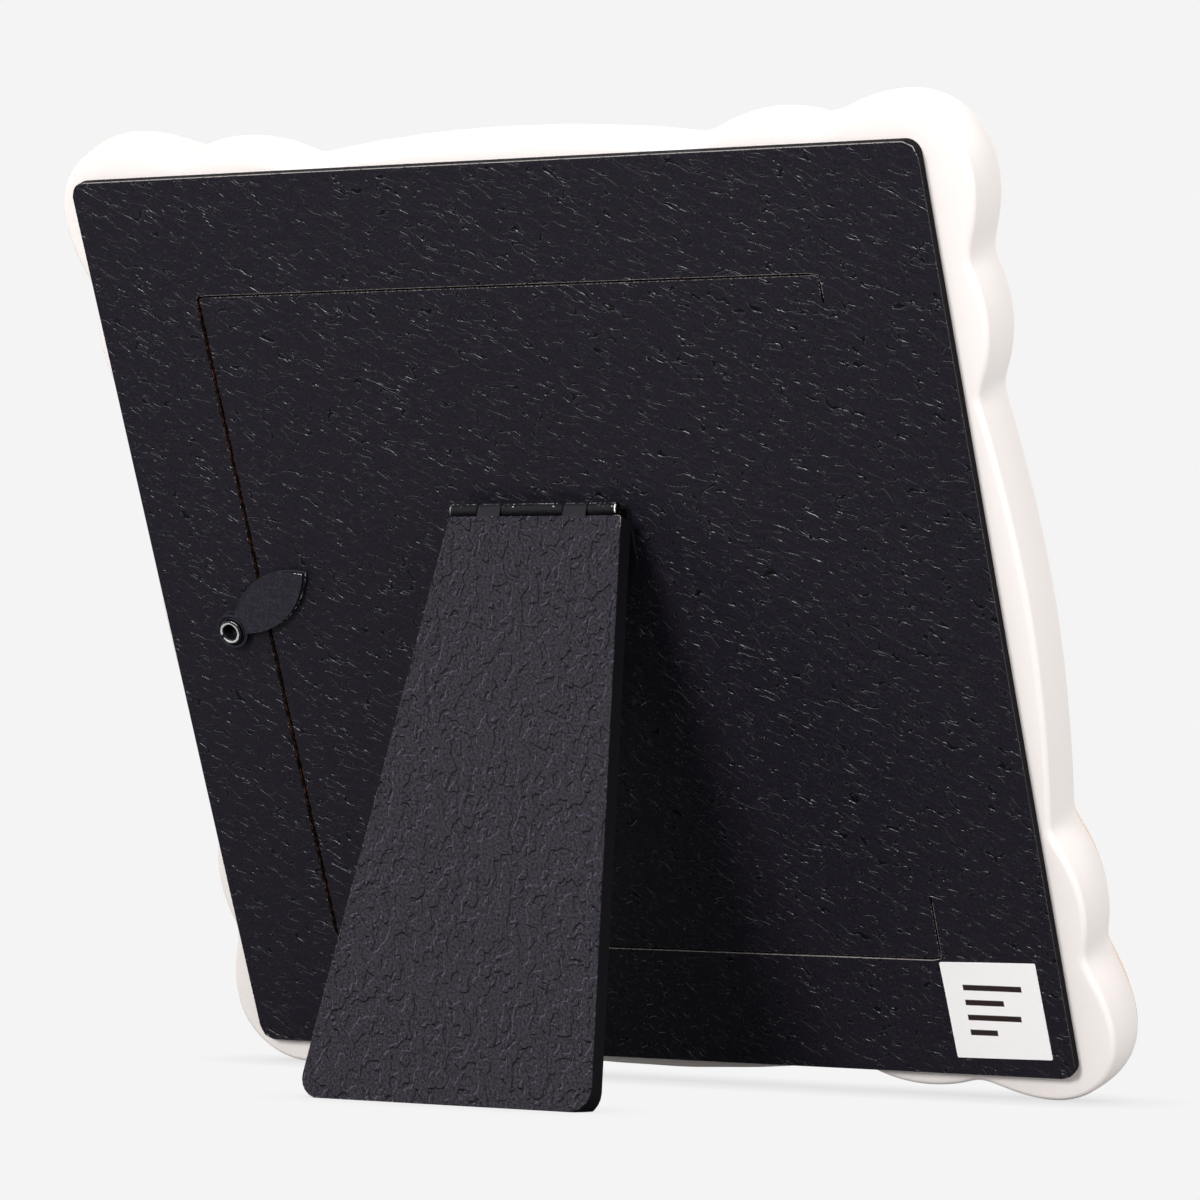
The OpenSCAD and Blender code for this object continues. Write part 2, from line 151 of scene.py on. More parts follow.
up = Vector((0, 0, 1))
camera_way = Vector((math.sin(CAMERA_AZIMUTH), -math.cos(CAMERA_AZIMUTH), -math.tan(CAMERA_DIP))).normalized()
camera_right = up.cross(camera_way).normalized()
cover_low, cover_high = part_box("back_cover")
aim = (cover_low + cover_high) / 2 + MM * (AIM_ASIDE * camera_right + AIM_RAISED * up)
camera = bpy.data.objects.new("camera", bpy.data.cameras.new("camera"))
bpy.context.scene.collection.objects.link(camera)
camera.data.lens = CAMERA_LENS
camera.data.sensor_width = 36
camera.location = aim + CAMERA_DISTANCE * camera_way
camera.rotation_mode = "QUATERNION"
camera.rotation_quaternion = (-camera_way).to_track_quat("-Z", "Y") @ Quaternion((0, 0, 1), CAMERA_ROLL)
bpy.context.scene.camera = camera
print("camera at", [round(c, 3) for c in camera.location])

# %% [markdown]
# ## Shader maths as ordinary arithmetic
# A finish is a formula over the surface. Node trees hide formulas, so a socket is wrapped in a
# small class whose operators add the Math nodes. After that, `1 - mask * 0.5` is both the
# formula and the node tree.

# %% A wire that can be added and multiplied
def plug(tree, slot, value):
    """Links a wire to a socket, or writes a plain value on it."""
    if isinstance(value, Wire):
        tree.links.new(value.socket, slot)
    elif hasattr(value, "__len__") and len(value) == 3 and slot.type == "RGBA":
        slot.default_value = (*value, 1)
    else:
        slot.default_value = value


class Wire:
    """The output of a shader node."""

    def __init__(self, tree, socket):
        self.tree, self.socket = tree, socket

    def maths(self, operation, *values):
        """A Math node; its inputs are wires or plain numbers."""
        node = self.tree.nodes.new("ShaderNodeMath")
        node.operation = operation
        for slot, value in zip(node.inputs, values):
            plug(self.tree, slot, value)
        return Wire(self.tree, node.outputs[0])

    def __add__(self, other):
        return self.maths("ADD", self, other)

    def __sub__(self, other):
        return self.maths("SUBTRACT", self, other)

    def __rsub__(self, other):
        return self.maths("SUBTRACT", other, self)

    def __mul__(self, other):
        return self.maths("MULTIPLY", self, other)

    def __abs__(self):
        return self.maths("ABSOLUTE", self)

    __radd__, __rmul__ = __add__, __mul__

    def most(self, other):
        """The larger of two values."""
        return self.maths("MAXIMUM", self, other)


class Finish:
    """A material being built around one Principled shader. Constants go straight on its sockets."""

    def __init__(self, name, **constants):
        self.material = bpy.data.materials.new(name)
        self.material.use_nodes = True
        self.tree = self.material.node_tree
        self.shader = self.tree.nodes["Principled BSDF"]
        for socket, value in constants.items():
            plug(self.tree, self.shader.inputs[socket.replace("_", " ")], value)

    def make(self, kind, settings=None, sockets=None, out=0):
        """Any node: its type, its settings, then the values or links of its sockets."""
        node = self.tree.nodes.new(kind)
        for key, value in (settings or {}).items():
            setattr(node, key, value)
        for key, value in (sockets or {}).items():
            plug(self.tree, node.inputs[key], value)
        return Wire(self.tree, node.outputs[out])

    def surface(self, **wires):
        """Plugs wires into the shader; an underscore in a name stands for a space."""
        for socket, value in wires.items():
            plug(self.tree, self.shader.inputs[socket.replace("_", " ")], value)

    def place(self, axes):
        """Position on the surface in millimetres, measured along the given axes."""
        where = self.make("ShaderNodeTexCoord", out=3)
        return self.make("ShaderNodeMapping", {"vector_type": "TEXTURE"}, {
            "Vector": where, "Location": axes.origin, "Rotation": axes.euler, "Scale": (MM, MM, MM)})

    def split(self, vector):
        """The three coordinates of a vector."""
        return [self.make("ShaderNodeSeparateXYZ", None, {0: vector}, out=k) for k in range(3)]

    def vector(self, operation, *values):
        """A Vector Math node."""
        return self.make("ShaderNodeVectorMath", {"operation": operation}, dict(enumerate(values)))

    def stretched(self, vector, scale, shift=(0, 0, 0)):
        """The vector times a scale per axis, plus a shift."""
        return self.make("ShaderNodeVectorMath", {"operation": "MULTIPLY_ADD"},
                         {0: vector, 1: scale, 2: shift})

    def noise(self, vector, scale, detail=2.0, rough=0.5, out="Fac"):
        """Soft noise between 0 and 1, with `scale` hills to a millimetre."""
        return self.make("ShaderNodeTexNoise", None, {
            "Vector": vector, "Scale": scale, "Detail": detail, "Roughness": rough}, out=out)

    def step(self, value, start, end):
        """A smooth step from 0 at start to 1 at end."""
        return self.make("ShaderNodeMapRange", {"interpolation_type": "SMOOTHSTEP"}, {
            "Value": value, "From Min": start, "From Max": end})

    def mixed(self, share, first, second):
        """A colour between two colours."""
        return self.make("ShaderNodeMix", {"data_type": "RGBA"}, {0: share, 6: first, 7: second}, out=2)

    def bump(self, height):
        """Leans the normal by a height given in millimetres."""
        self.surface(Normal=self.make("ShaderNodeBump", None, {"Distance": MM, "Height": height}))


print("shader arithmetic is ready")

# %% [markdown]
# ## Surfaces from grids of points
# Every new piece is a sheet of points: rows follow one parameter, columns the other. The whole
# sheet is worked out as one array, and its quads are index arithmetic, so there is no loop over
# vertices. Modelling by hand or with booleans would also do, but a formula can be read and
# changed. Each piece then says which body carries it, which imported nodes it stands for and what
# its material slot is called.

# %% From a grid to a mesh
def quads(rows, columns, around, along):
    """Corner numbers of the quads of a grid. With `around` the last column joins the first,
    and with `along` the last row joins the first."""
    number = np.arange(rows * columns).reshape(rows, columns)
    if around:
        number = np.concatenate([number, number[:, :1]], 1)
    if along:
        number = np.concatenate([number, number[:1]], 0)
    return np.stack([number[:-1, :-1], number[:-1, 1:], number[1:, 1:], number[1:, :-1]], -1).reshape(-1, 4)


def outward_sign(points, faces):
    """Sign of the signed volume: the sum of a . (b x c) over the triangles of each quad."""
    a, b, c, d = (points[faces[:, k]] for k in range(4))
    return np.sign(np.sum(a * (np.cross(b, c) + np.cross(c, d))))


def skin(name, axes, grids, finish, body, stands_for=(), crease=40.0):
    """One closed mesh from grids, each a tuple of points, around, along and its bare-edge values.
    The edge values become the attribute `rim`, which the finishes read."""
    all_points, all_faces, all_rims, start = [], [], [], 0
    for grid, around, along, rim in grids:
        rows, columns = grid.shape[:2]
        points = grid.reshape(-1, 3)
        faces = quads(rows, columns, around, along)
        if outward_sign(points - points.mean(0), faces) < 0:
            faces = faces[:, ::-1]
        all_points.append(points)
        all_faces.append(faces + start)
        all_rims.append(np.broadcast_to(rim, (rows, columns)).ravel())
        start += len(points)
    points, faces = np.concatenate(all_points), np.concatenate(all_faces)
    mesh = bpy.data.meshes.new(name)
    mesh.vertices.add(len(points))
    mesh.vertices.foreach_set("co", axes.world(points).astype(np.float32).ravel())
    mesh.loops.add(faces.size)
    mesh.loops.foreach_set("vertex_index", faces.astype(np.int32).ravel())
    mesh.polygons.add(len(faces))
    mesh.polygons.foreach_set("loop_start", np.arange(0, faces.size, 4, dtype=np.int32))
    mesh.update(calc_edges=True)
    mesh.attributes.new("rim", "FLOAT", "POINT").data.foreach_set(
        "value", np.concatenate(all_rims).astype(np.float32))
    weld(mesh)
    mesh.polygons.foreach_set("use_smooth", np.ones(len(mesh.polygons), bool))
    mesh.set_sharp_from_angle(angle=math.radians(crease))
    piece = bpy.data.objects.new(name, mesh)
    bpy.context.scene.collection.objects.link(piece)
    mesh.materials.append(finish.material)
    if body:
        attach(piece, body)
    if stands_for:
        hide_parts(*stands_for)
    print(f"{name}: {len(mesh.polygons)} faces")
    return piece


def weld(mesh):
    """Merges points that share a place, which closes poles and seams."""
    work = bmesh.new()
    work.from_mesh(mesh)
    bmesh.ops.remove_doubles(work, verts=work.verts, dist=2e-7)
    bmesh.ops.dissolve_degenerate(work, edges=work.edges, dist=1e-8)
    work.to_mesh(mesh)
    work.free()


print("grids become meshes")

# %% [markdown]
# ## Outlines with round corners
# Sheets of paper and leaves of steel are flat, with small round corners. A Bevel modifier could
# round them. Here the corners and their radii give the arcs directly, together with the outward
# direction at every point, because the sheet's edge is then rounded by moving along it.

# %% Outlines with round corners
def turned(points, angle):
    """Points of a plane turned anticlockwise."""
    c, s = np.cos(angle), np.sin(angle)
    return points @ np.array([[c, s], [-s, c]])


def rounded_outline(corners, radii, pitch, arc_steps=6):
    """A convex polygon with an arc at each corner, listed anticlockwise with its outward normals.
    Each arc touches its two sides; the sides are divided about every `pitch`."""
    corners = np.array(corners, float)
    points, normals = [], []
    for here, radius, before, after in zip(corners, radii, np.roll(corners, 1, 0), np.roll(corners, -1, 0)):
        back = (before - here) / np.linalg.norm(before - here)
        ahead = (after - here) / np.linalg.norm(after - here)
        half = math.acos(float(back @ ahead)) / 2
        middle = here + (back + ahead) / np.linalg.norm(back + ahead) * radius / math.sin(half)
        first = math.atan2(back[0], -back[1])
        angles = first + np.linspace(0, math.pi - 2 * half, arc_steps + 1)
        normal = np.stack([np.cos(angles), np.sin(angles)], 1)
        points.append(middle + radius * normal)
        normals.append(normal)
    ring_points, ring_normals = [], []
    for k, (arc, normal) in enumerate(zip(points, normals)):
        target = points[(k + 1) % len(points)][0]
        count = max(1, round(float(np.linalg.norm(target - arc[-1])) / pitch))
        share = np.arange(1, count)[:, None] / count
        ring_points += [arc, arc[-1] * (1 - share) + target * share]
        ring_normals += [normal, np.repeat(normal[-1:], count - 1, 0)]
    return np.concatenate(ring_points), np.concatenate(ring_normals)


def square_corners(half):
    """Corners of a square, anticlockwise from the lower left."""
    return [[-half, -half], [half, -half], [half, half], [-half, half]]


def raised(flat, height):
    """A row of points: x and z from the outline, y from the height."""
    return np.stack([flat[:, 0], np.broadcast_to(height, len(flat)), flat[:, 1]], 1)


EDGE_MARKS = [1.0] * 5 + [0.0]
HEM = 0.05


def edge_rows(outline, normals, low, high, edge):
    """Rows up a sheet's side, round its edge by a quarter circle, and a hem further in. The last
    row ends the bare edge, so that its mark doesn't fade across the whole sheet."""
    turn = np.radians([0, 30, 60, 90])
    rows = [raised(outline, low)]
    rows += [raised(outline - normals * edge * (1 - np.cos(a)), high - edge * (1 - np.sin(a))) for a in turn]
    return rows + [raised(outline - normals * (edge + HEM), high)]


print("outlines and edges are ready")

# %% [markdown]
# ## Embossed black paper
# The back is covered with black paper pressed with a leather grain. On the board it is a ripple
# of short grooves that mostly run along one slant; on the strut it is coarser, with flat ridges
# that wander. The grain could be an image texture, but then it would repeat and blur. Here it
# is a height in millimetres, worked out at every point. Soft noise gives hills of one size:
# cutting it near its middle value leaves thin lines that wander, and a steep step there leaves
# flat ridges. A second noise lets only short stretches of the lines through.
# The paper's own colour is nearly black. What one sees is mostly its soft shine, and a little
# tone: a painted highlight lightens its high rims and a painted shade blackens its hollows.

# %% Paper finish
def wandering_lines(finish, where, size, width, keep, seed):
    """Thin lines where a noise of the given size passes its middle value, kept in short pieces,
    and the rims beside them."""
    field = abs(finish.noise(finish.stretched(where, (1, 1, 1), (seed, 0, seed)), 1 / size, 1.0, 0.4) - 0.5)
    cuts = finish.noise(finish.stretched(where, (1, 1, 1), (0, seed, -seed)), 1.6 / size, 0.0)
    kept = finish.step(cuts, keep, keep + 0.06)
    line = 1 - finish.step(field, 0, width)
    beside = 1 - finish.step(field, width * 1.3, width * 2.4)
    return line * kept, (beside - line).most(0) * kept


def drawn_out(finish, where, slant, draw):
    """The place, bent a little by a slow noise, turned by a slant and drawn out along it."""
    drift = finish.vector("SUBTRACT", finish.noise(where, 0.35, 1.0, out="Color"), (0.5, 0.5, 0.5))
    bent = finish.vector("ADD", where, finish.stretched(drift, (1.6, 0, 1.6)))
    aligned = finish.make("ShaderNodeVectorRotate", {"rotation_type": "Y_AXIS"},
                          {"Vector": bent, "Angle": slant})
    return finish.stretched(aligned, (draw, 1, 1))


def rippled(finish, where):
    """The board's grain: soft swells, and grooves pressed between them, long ones, short ones
    and pits. Returns the height in millimetres, a painted shade that darkens the grooves and a
    painted highlight on the rims beside them."""
    size, swell_height, groove_depth = 2.0, 0.035, 0.100
    drawn = drawn_out(finish, where, math.radians(28), 0.38)
    long_lines, long_rims = wandering_lines(
        finish, drawn, size, width=0.048 / size, keep=0.525, seed=11)
    short_lines, short_rims = wandering_lines(
        finish, drawn, size * 0.6, width=0.075 / size, keep=0.57, seed=47)
    pits = finish.step(finish.noise(where, 2.6, 0.0), 0.72, 0.78)
    pressed = long_lines.most(short_lines * 0.8).most(pits * 0.9)
    hills = finish.noise(finish.stretched(drawn, (1, 1, 1), (3, 0, 8)), 0.8, 1.0, 0.4)
    swells = finish.step(hills, 0.45, 0.57)
    height = swells * swell_height - pressed * groove_depth
    # The grooves are darkened as painted shade and the rims beside them lightened as painted highlight.
    return height, finish.step(pressed, 0.2, 0.7) * 0.9, long_rims.most(short_rims) * 0.25


def ridged(finish, where):
    """The strut's grain: flat ridges that wander, and dots between them. Taken away from the
    same ridges a little further up and across, they leave their near flanks, painted lighter as
    a highlight, and their far flanks, painted darker as shade, as if a light fell from that side.
    Returns the height in millimetres, the painted shade and the painted highlight."""
    size, level, soft, flank, ridge_height = 1.75, 0.515, 0.016, 0.17, 0.20

    def ridges(place):
        drawn = drawn_out(finish, place, math.radians(76), 0.62)
        hills = finish.noise(drawn, 1 / size, 1.0, 0.35)
        dots = finish.noise(finish.stretched(drawn, (1.5, 1, 1)), 1.3 / size, 0.0)
        return finish.step(hills, level - soft, level + soft).most(finish.step(dots, 0.63, 0.66))

    here = ridges(where)
    above = ridges(finish.stretched(where, (1, 1, 1), (flank, 0, flank)))
    patches = finish.step(finish.noise(where, 0.8, 2.0), 0.36, 0.56)
    # Painted light: the far flanks come back as shade in patches, the near flanks as highlight.
    return here * ridge_height, (above - here).most(0) * patches * 1.6, (here - above).most(0) * 2.2


def toned(tint, factor):
    """A colour made darker or lighter."""
    return tuple(part * factor for part in tint)


def paper_finish(name, axes, relief, tooth_height, flecked, shine, roughness, tint):
    """Black embossed paper. The relief gives its height, a painted shade that blackens its hollows
    and a painted highlight that lightens its rims; bare fibre shows where the attribute `rim` marks a cut
    edge."""
    finish = Finish(name, IOR=1.45, Specular_IOR_Level=shine)
    where = finish.place(axes)
    height, painted_shade, wear_and_painted_highlight = relief(finish, where)
    tooth = finish.noise(where, 2.4, 3.0, 0.65)
    flecks = finish.step(finish.noise(where, 2.5, 3.0, 0.75), 0.40, 0.60)
    rim = finish.make("ShaderNodeAttribute", {"attribute_name": "rim"}, out="Fac")
    fibres = finish.noise(where, 2.6, 2.0, 0.7)
    bare = finish.step(rim + (fibres - 0.5) * 1.6, 0.72, 0.92)
    dark = finish.mixed(flecks, toned(tint, 1 - flecked), toned(tint, 1 + flecked))
    # Painted highlight: the rims that the relief marks are lightened in the colour.
    dark = finish.mixed(wear_and_painted_highlight * flecks, dark, toned(tint, 4))
    # Painted shade: the hollows that the relief marks are blackened in the colour.
    dark = finish.mixed(painted_shade, dark, (0.001, 0.001, 0.002))
    finish.surface(Base_Color=finish.mixed(bare, dark, (0.30, 0.27, 0.26)),
                   Roughness=roughness + 0.12 * finish.noise(where, 0.5, 4.0, 0.6) + bare * 0.3)
    finish.bump(tooth * tooth_height + height)
    return finish


back_paper = paper_finish("embossed_paper_back", board, rippled, tooth_height=0.04, flecked=0.22,
                          shine=0.45, roughness=0.22, tint=(0.0118, 0.0100, 0.0158))
# The strut's copy of the same paper has less shine and a lighter tint: the lighter tint is partly a painted
# sheen.
strut_paper = paper_finish("embossed_paper_strut", strut, ridged, tooth_height=0.19, flecked=0.70,
                           shine=0.12, roughness=0.24, tint=(0.0192, 0.0160, 0.0232))
print("two papers made")

# %% [markdown]
# ## Pressed board, enamel and steel
# The board under the paper is brown hardboard. Its outer edge is brushed black, and the brown
# only shows inside the saw cut round the door. The hinge and the button are stamped steel with
# stove enamel, which wears through to bright metal on the rolled lip of the rivet and on the
# cut edges of the sheet. One finish serves them all, because each mesh says by its attribute
# `rim` where it is rubbed, where bright metal is partly a painted highlight, and where shade is painted on it
# in black.

# %% Board, enamel and metal finishes
def board_finish(name, axes, painted_from):
    """Brown hardboard, painted black further than `painted_from` from the middle."""
    finish = Finish(name, IOR=1.4, Specular_IOR_Level=0.12)
    where = finish.place(axes)
    x, _, z = finish.split(where)
    fibre = finish.noise(finish.stretched(where, (1, 9, 1)), 1.3, 4.0, 0.65)
    brown = finish.mixed(finish.step(fibre, 0.46, 0.66), (0.002, 0.001, 0.001), (0.058, 0.022, 0.012))
    black = finish.mixed(fibre, (0.002, 0.002, 0.003), (0.008, 0.007, 0.010))
    painted = finish.step(abs(x).most(abs(z)), painted_from, painted_from + 0.3)
    finish.surface(Base_Color=finish.mixed(painted, brown, black), Roughness=0.55 + 0.3 * fibre)
    finish.bump(fibre * 0.09)
    return finish


def enamel_finish(name, axes, tint, shine, texture, wear_from):
    """Black stove enamel over steel, with a texture given in millimetres. Where `rim` passes
    `wear_from` and the noise agrees, it is worn bright. Below zero, `rim` paints the enamel
    darker, down to black, as painted shade in grooves, hollows and on walls that face away from the light."""
    finish = Finish(name, IOR=1.5, Specular_IOR_Level=shine)
    where = finish.place(axes)
    rim = finish.make("ShaderNodeAttribute", {"attribute_name": "rim"}, out="Fac")
    grain = finish.noise(where, 3.6, 3.0, 0.6)
    blotch = finish.noise(finish.stretched(where, (1, 1, 1), (5, 3, 9)), 2.4, 3.0, 0.7)
    worn = finish.step(rim + (blotch - 0.5) * 1.3, wear_from, wear_from + 0.12)
    specks = finish.step(blotch, 0.40, 0.64)
    coat = finish.mixed(specks, toned(tint, 0.8), toned(tint, 1.3))
    # Painted shade: below zero, `rim` blackens the coat.
    coat = finish.mixed(finish.step(rim, -1, 0), (0.001, 0.001, 0.001), coat)
    finish.surface(
        Base_Color=finish.mixed(worn, coat, (0.95, 0.94, 0.95)),
        Metallic=worn * 0.6,
        Roughness=0.44 + 0.2 * blotch - worn * 0.26)
    finish.bump(grain * texture)
    return finish


# The board is painted on its outer edge, the door not at all, and the strut all over.
BOARD_HALF = float(board.box("back_board")[1][0])
board_edges = board_finish("pressed_board_edges", board, 60.0)
door_edges = board_finish("pressed_board_door", board, BOARD_HALF)
strut_edges = board_finish("pressed_board_strut", strut, -1.0)
# Each enamel has a tint, a shine, a texture and the value of `rim` from which it is worn.
button_enamel = enamel_finish("button_enamel", button, (0.022, 0.020, 0.028), 0.14, 0.05, 0.80)
hinge_enamel = enamel_finish("hinge_enamel", hinge, (0.006, 0.006, 0.008), 0.14, 0.09, 1.20)
loop_enamel = enamel_finish("loop_enamel", hinge, (0.012, 0.011, 0.015), 0.14, 0.03, 1.14)
rivet_metal = enamel_finish("rivet_metal", button, (0.006, 0.006, 0.008), 0.30, 0.02, 0.62)
pin_enamel = enamel_finish("pin_enamel", hinge, (0.002, 0.002, 0.002), 0.05, 0.02, 2.00)
print("board half width", round(BOARD_HALF, 2), "mm")

# %% [markdown]
# ## The moulding
# The moulding is cast in one piece: a flat land behind for the board, a steep wall, and a domed
# front that falls to the opening. Its outline is a square of lobes. Seen from the middle, the
# outline has one distance for each direction, so it can be one array over the angle: on each
# stretch the distance to a circle along the ray. Smoothing that array with a bell curve softens
# the creases between lobes as glaze and casting do.

# %% Moulding outline
CORNER_RADIUS = 11.6
CORNER_LOBE_H = 3.2
CORNER_FLANK = 11.8
NOTCH_REACH = 1.1
NOTCH_STEP = 1.8
SMALL_LOBE = (20.3, 2.45)
LONG_LOBE_H = 2.6
CREASE_SOFTNESS = math.radians(0.7)
CAST_SAG, CAST_SKEW = 1.6, 0.35
RAYS = 1080

half_width = BOARD_HALF + NOTCH_REACH + NOTCH_STEP + CORNER_LOBE_H
tall_share = 1 - CAST_SAG / (2 * half_width)
skew_share = CAST_SKEW / half_width
corner_middle = half_width - CORNER_RADIUS
notch_b = np.array([corner_middle - CORNER_FLANK, half_width - CORNER_LOBE_H])
notch_a = np.array([notch_b[0] - SMALL_LOBE[0], notch_b[1] - NOTCH_STEP])


def circle_over(start, end, height):
    """Centre and radius of the arc that stands `height` over a chord: r = (c^2/4 + h^2) / 2h."""
    chord = end - start
    length = np.linalg.norm(chord)
    radius = (length ** 2 / 4 + height ** 2) / (2 * height)
    upright = np.array([-chord[1], chord[0]]) / length
    return (start + end) / 2 - upright * (radius - height), radius


def circle_reach(ray, circle, inset):
    """Distance along a ray to the far side of a circle: c.u + sqrt((c.u)^2 - c.c + r^2)."""
    centre, radius = circle
    along = ray @ centre
    return along + np.sqrt(np.maximum(along ** 2 - centre @ centre + (radius - inset) ** 2, 0))


flank_radius = (CORNER_FLANK ** 2 + CORNER_LOBE_H ** 2) / (2 * CORNER_LOBE_H)
LOBES = [
    circle_over(notch_a * [-1, 1], notch_a, LONG_LOBE_H),
    circle_over(notch_a, notch_b, SMALL_LOBE[1]),
    (np.array([corner_middle, half_width - flank_radius]), flank_radius),
    (np.array([corner_middle, corner_middle]), CORNER_RADIUS),
]
ray_angle = np.linspace(0, 2 * np.pi, RAYS, endpoint=False)
rays = np.stack([np.cos(ray_angle), np.sin(ray_angle)], 1)


def softened(values, width):
    """The periodic array convolved with a bell curve of that width, in radians, by its Fourier series."""
    order = np.fft.rfftfreq(len(values), 1 / len(values))
    return np.fft.irfft(np.fft.rfft(values) * np.exp(-(order * width) ** 2 / 2), len(values))


def outline_reach(inset):
    """Distance from the middle to the lobed outline for each ray, folded into one eighth of a turn."""
    folded = np.sort(np.abs(rays), axis=1)
    tilt = np.arctan2(folded[:, 0], folded[:, 1])
    ends = [math.atan2(p[0], p[1]) for p in (notch_a, notch_b, (corner_middle, half_width))]
    reaches = [circle_reach(folded, lobe, inset) for lobe in LOBES]
    reach = np.select([tilt < ends[0], tilt < ends[1], tilt < ends[2]], reaches[:3], reaches[3])
    return softened(reach, CREASE_SOFTNESS)


def square_reach(half, radius):
    """Distance from the middle to a rounded square, along each ray."""
    u = np.abs(rays)
    flat = half / u.max(1)
    corner = np.array([half - radius] * 2)
    along = u @ corner
    arc = along + np.sqrt(np.maximum(along ** 2 - corner @ corner + radius ** 2, 0))
    return np.where((flat[:, None] * u).min(1) <= half - radius, flat, arc)


print("outline reaches", round(float(outline_reach(0).max()), 1), "mm at the corners")

# %% [markdown]
# The section is followed once round: over the land, down the wall, over the dome, into the
# opening and back along the rebate. Because it comes back to its start, the grid closes both
# ways, like a tyre, and needs no caps. A slow unevenness of about a tenth of a millimetre keeps
# the casting from looking machined.

# %% Moulding surface
WALL_DEPTH = 5.85
WALL_DRAFT = 0.6
LAND_EDGE_R = 1.0
DOME_TURN = math.radians(150)
DOME_POWER = 0.75
SIGHT_RADIUS = 3.0
REBATE_PLAY, SIGHT_LAP = 0.5, 4.0
CASTING_WAVE, LAND_WAVE = 0.16, 0.05

glass_low, glass_high = ring.box("glass_pane")
pane_half = float(glass_high[0])
rebate_half = pane_half + REBATE_PLAY
sight_half = pane_half - SIGHT_LAP
rebate_y = float(glass_low[1])
front_y = float(ring.box("moulding")[0][1])
wall_y = -WALL_DEPTH
widest = outline_reach(0)
sight = square_reach(sight_half, SIGHT_RADIUS)
rebate = square_reach(rebate_half, 0.2)


def moulding_row(reach, depth):
    """One loop of the section; like the casting, it is a little low and leans a little to one side."""
    flat = rays * reach[:, None]
    return np.stack([flat[:, 0] - flat[:, 1] * skew_share, np.broadcast_to(depth, RAYS),
                     flat[:, 1] * tall_share], 1)


def pulled(share, start, end):
    """A share of the way from start to end."""
    return start * (1 - share) + end * share


land_edge = outline_reach(WALL_DRAFT + LAND_EDGE_R)
rows = [moulding_row(pulled(t, rebate, land_edge), 0) for t in np.linspace(0, 1, 14)]
for angle in np.radians(np.linspace(15, 90, 6)):
    rows.append(moulding_row(outline_reach(WALL_DRAFT + LAND_EDGE_R * (1 - np.sin(angle))),
                             -LAND_EDGE_R * (1 - np.cos(angle))))
for t in np.linspace(0.12, 1, 9):
    rows.append(moulding_row(outline_reach(WALL_DRAFT * (1 - np.sin(t * np.pi / 2))),
                             -LAND_EDGE_R + (wall_y + LAND_EDGE_R) * t))
for angle in DOME_TURN * np.linspace(0, 1, 37)[1:]:
    share = (1 - np.cos(angle)) / (1 - np.cos(DOME_TURN))
    rows.append(moulding_row(pulled(share, widest, sight),
                             wall_y + (front_y - wall_y) * np.sin(angle) ** DOME_POWER))
lip_y = float(rows[-1][0, 1])
rows += [moulding_row(sight, pulled(t, lip_y, rebate_y)) for t in (0.35, 0.7, 1)]
rows += [moulding_row(pulled(t, sight, rebate), rebate_y) for t in (0.5, 1)]
rows.append(moulding_row(rebate, rebate_y / 2))
section = np.array(rows)


def slow_waves(points, seed, steepness=0.16):
    """A smooth unevenness between -1 and 1: the mean of sines that run in unlike directions."""
    draw = np.random.default_rng(seed)
    ways = draw.normal(size=(7, 3)) * steepness
    phases = draw.uniform(0, 2 * np.pi, 7)
    return np.sin(points @ ways.T + phases).mean(-1)


outer_part = np.clip((np.hypot(section[..., 0], section[..., 2]) - rebate_half * 1.05) / 8, 0, 1)
section *= 1 + (slow_waves(section, seed=3) * CASTING_WAVE / half_width * outer_part)[..., None] * [1, 0, 1]
on_land = section[..., 1] > -0.5
section[..., 1] -= np.where(on_land, LAND_WAVE * (1 + slow_waves(section, seed=5)), 0) * outer_part
print("moulding section has", len(section), "rows")

# %% [markdown]
# The casting is bare, matt and cream white behind, with a few brown pinholes. The front is dipped
# in a thin apricot glaze. Its edge wanders a few millimetres in front of the widest line, a little
# further back towards the foot, where the glaze ran down. Two materials could meet at an edge of
# the mesh, but a glaze line follows no edge, so one material mixes both by height.

# %% Ceramic finish
GLAZE_FROM = 2.9
GLAZE_SLANT = 0.011


def ceramic_finish():
    """Bare cream body behind and apricot glaze in front of a slightly wandering line."""
    finish = Finish("cast_ceramic", IOR=1.48, Coat_Roughness=0.12, Coat_IOR=1.5)
    where = finish.place(ring)
    _, y, z = finish.split(where)
    wander = finish.noise(where, 0.10, 2.0) - 0.5
    glazed = finish.step(wall_y - GLAZE_FROM - y + wander * 1.2 - z * GLAZE_SLANT, -0.12, 0.12)
    clouds = finish.noise(where, 0.055, 3.0)
    grain = finish.noise(where, 2.2, 5.0, 0.7)
    pin = finish.make("ShaderNodeTexVoronoi", None, {"Vector": where, "Scale": 0.16, "Randomness": 1.0})
    rare = finish.step(finish.noise(finish.stretched(where, (1, 1, 1), (31, 7, 13)), 0.12, 1.0), 0.56, 0.6)
    pinhole = (1 - finish.step(pin, 0.02, 0.045)) * rare
    body = finish.mixed(clouds, (0.915, 0.850, 0.822), (0.945, 0.888, 0.858))
    body = finish.mixed(pinhole * 0.75, body, (0.28, 0.15, 0.10))
    glaze = finish.mixed(clouds, (0.86, 0.46, 0.22), (0.90, 0.54, 0.29))
    finish.surface(
        Base_Color=finish.mixed(glazed, body, glaze),
        Roughness=0.62 - glazed * 0.38,
        Coat_Weight=glazed * 0.6)
    finish.bump(grain * 0.028 * (1 - glazed) - pinhole * 0.15 + glazed * 0.09)
    return finish


skin("cast_moulding", ring, [(section, True, True, 0)], ceramic_finish(), "frame",
     ["moulding"], crease=50)

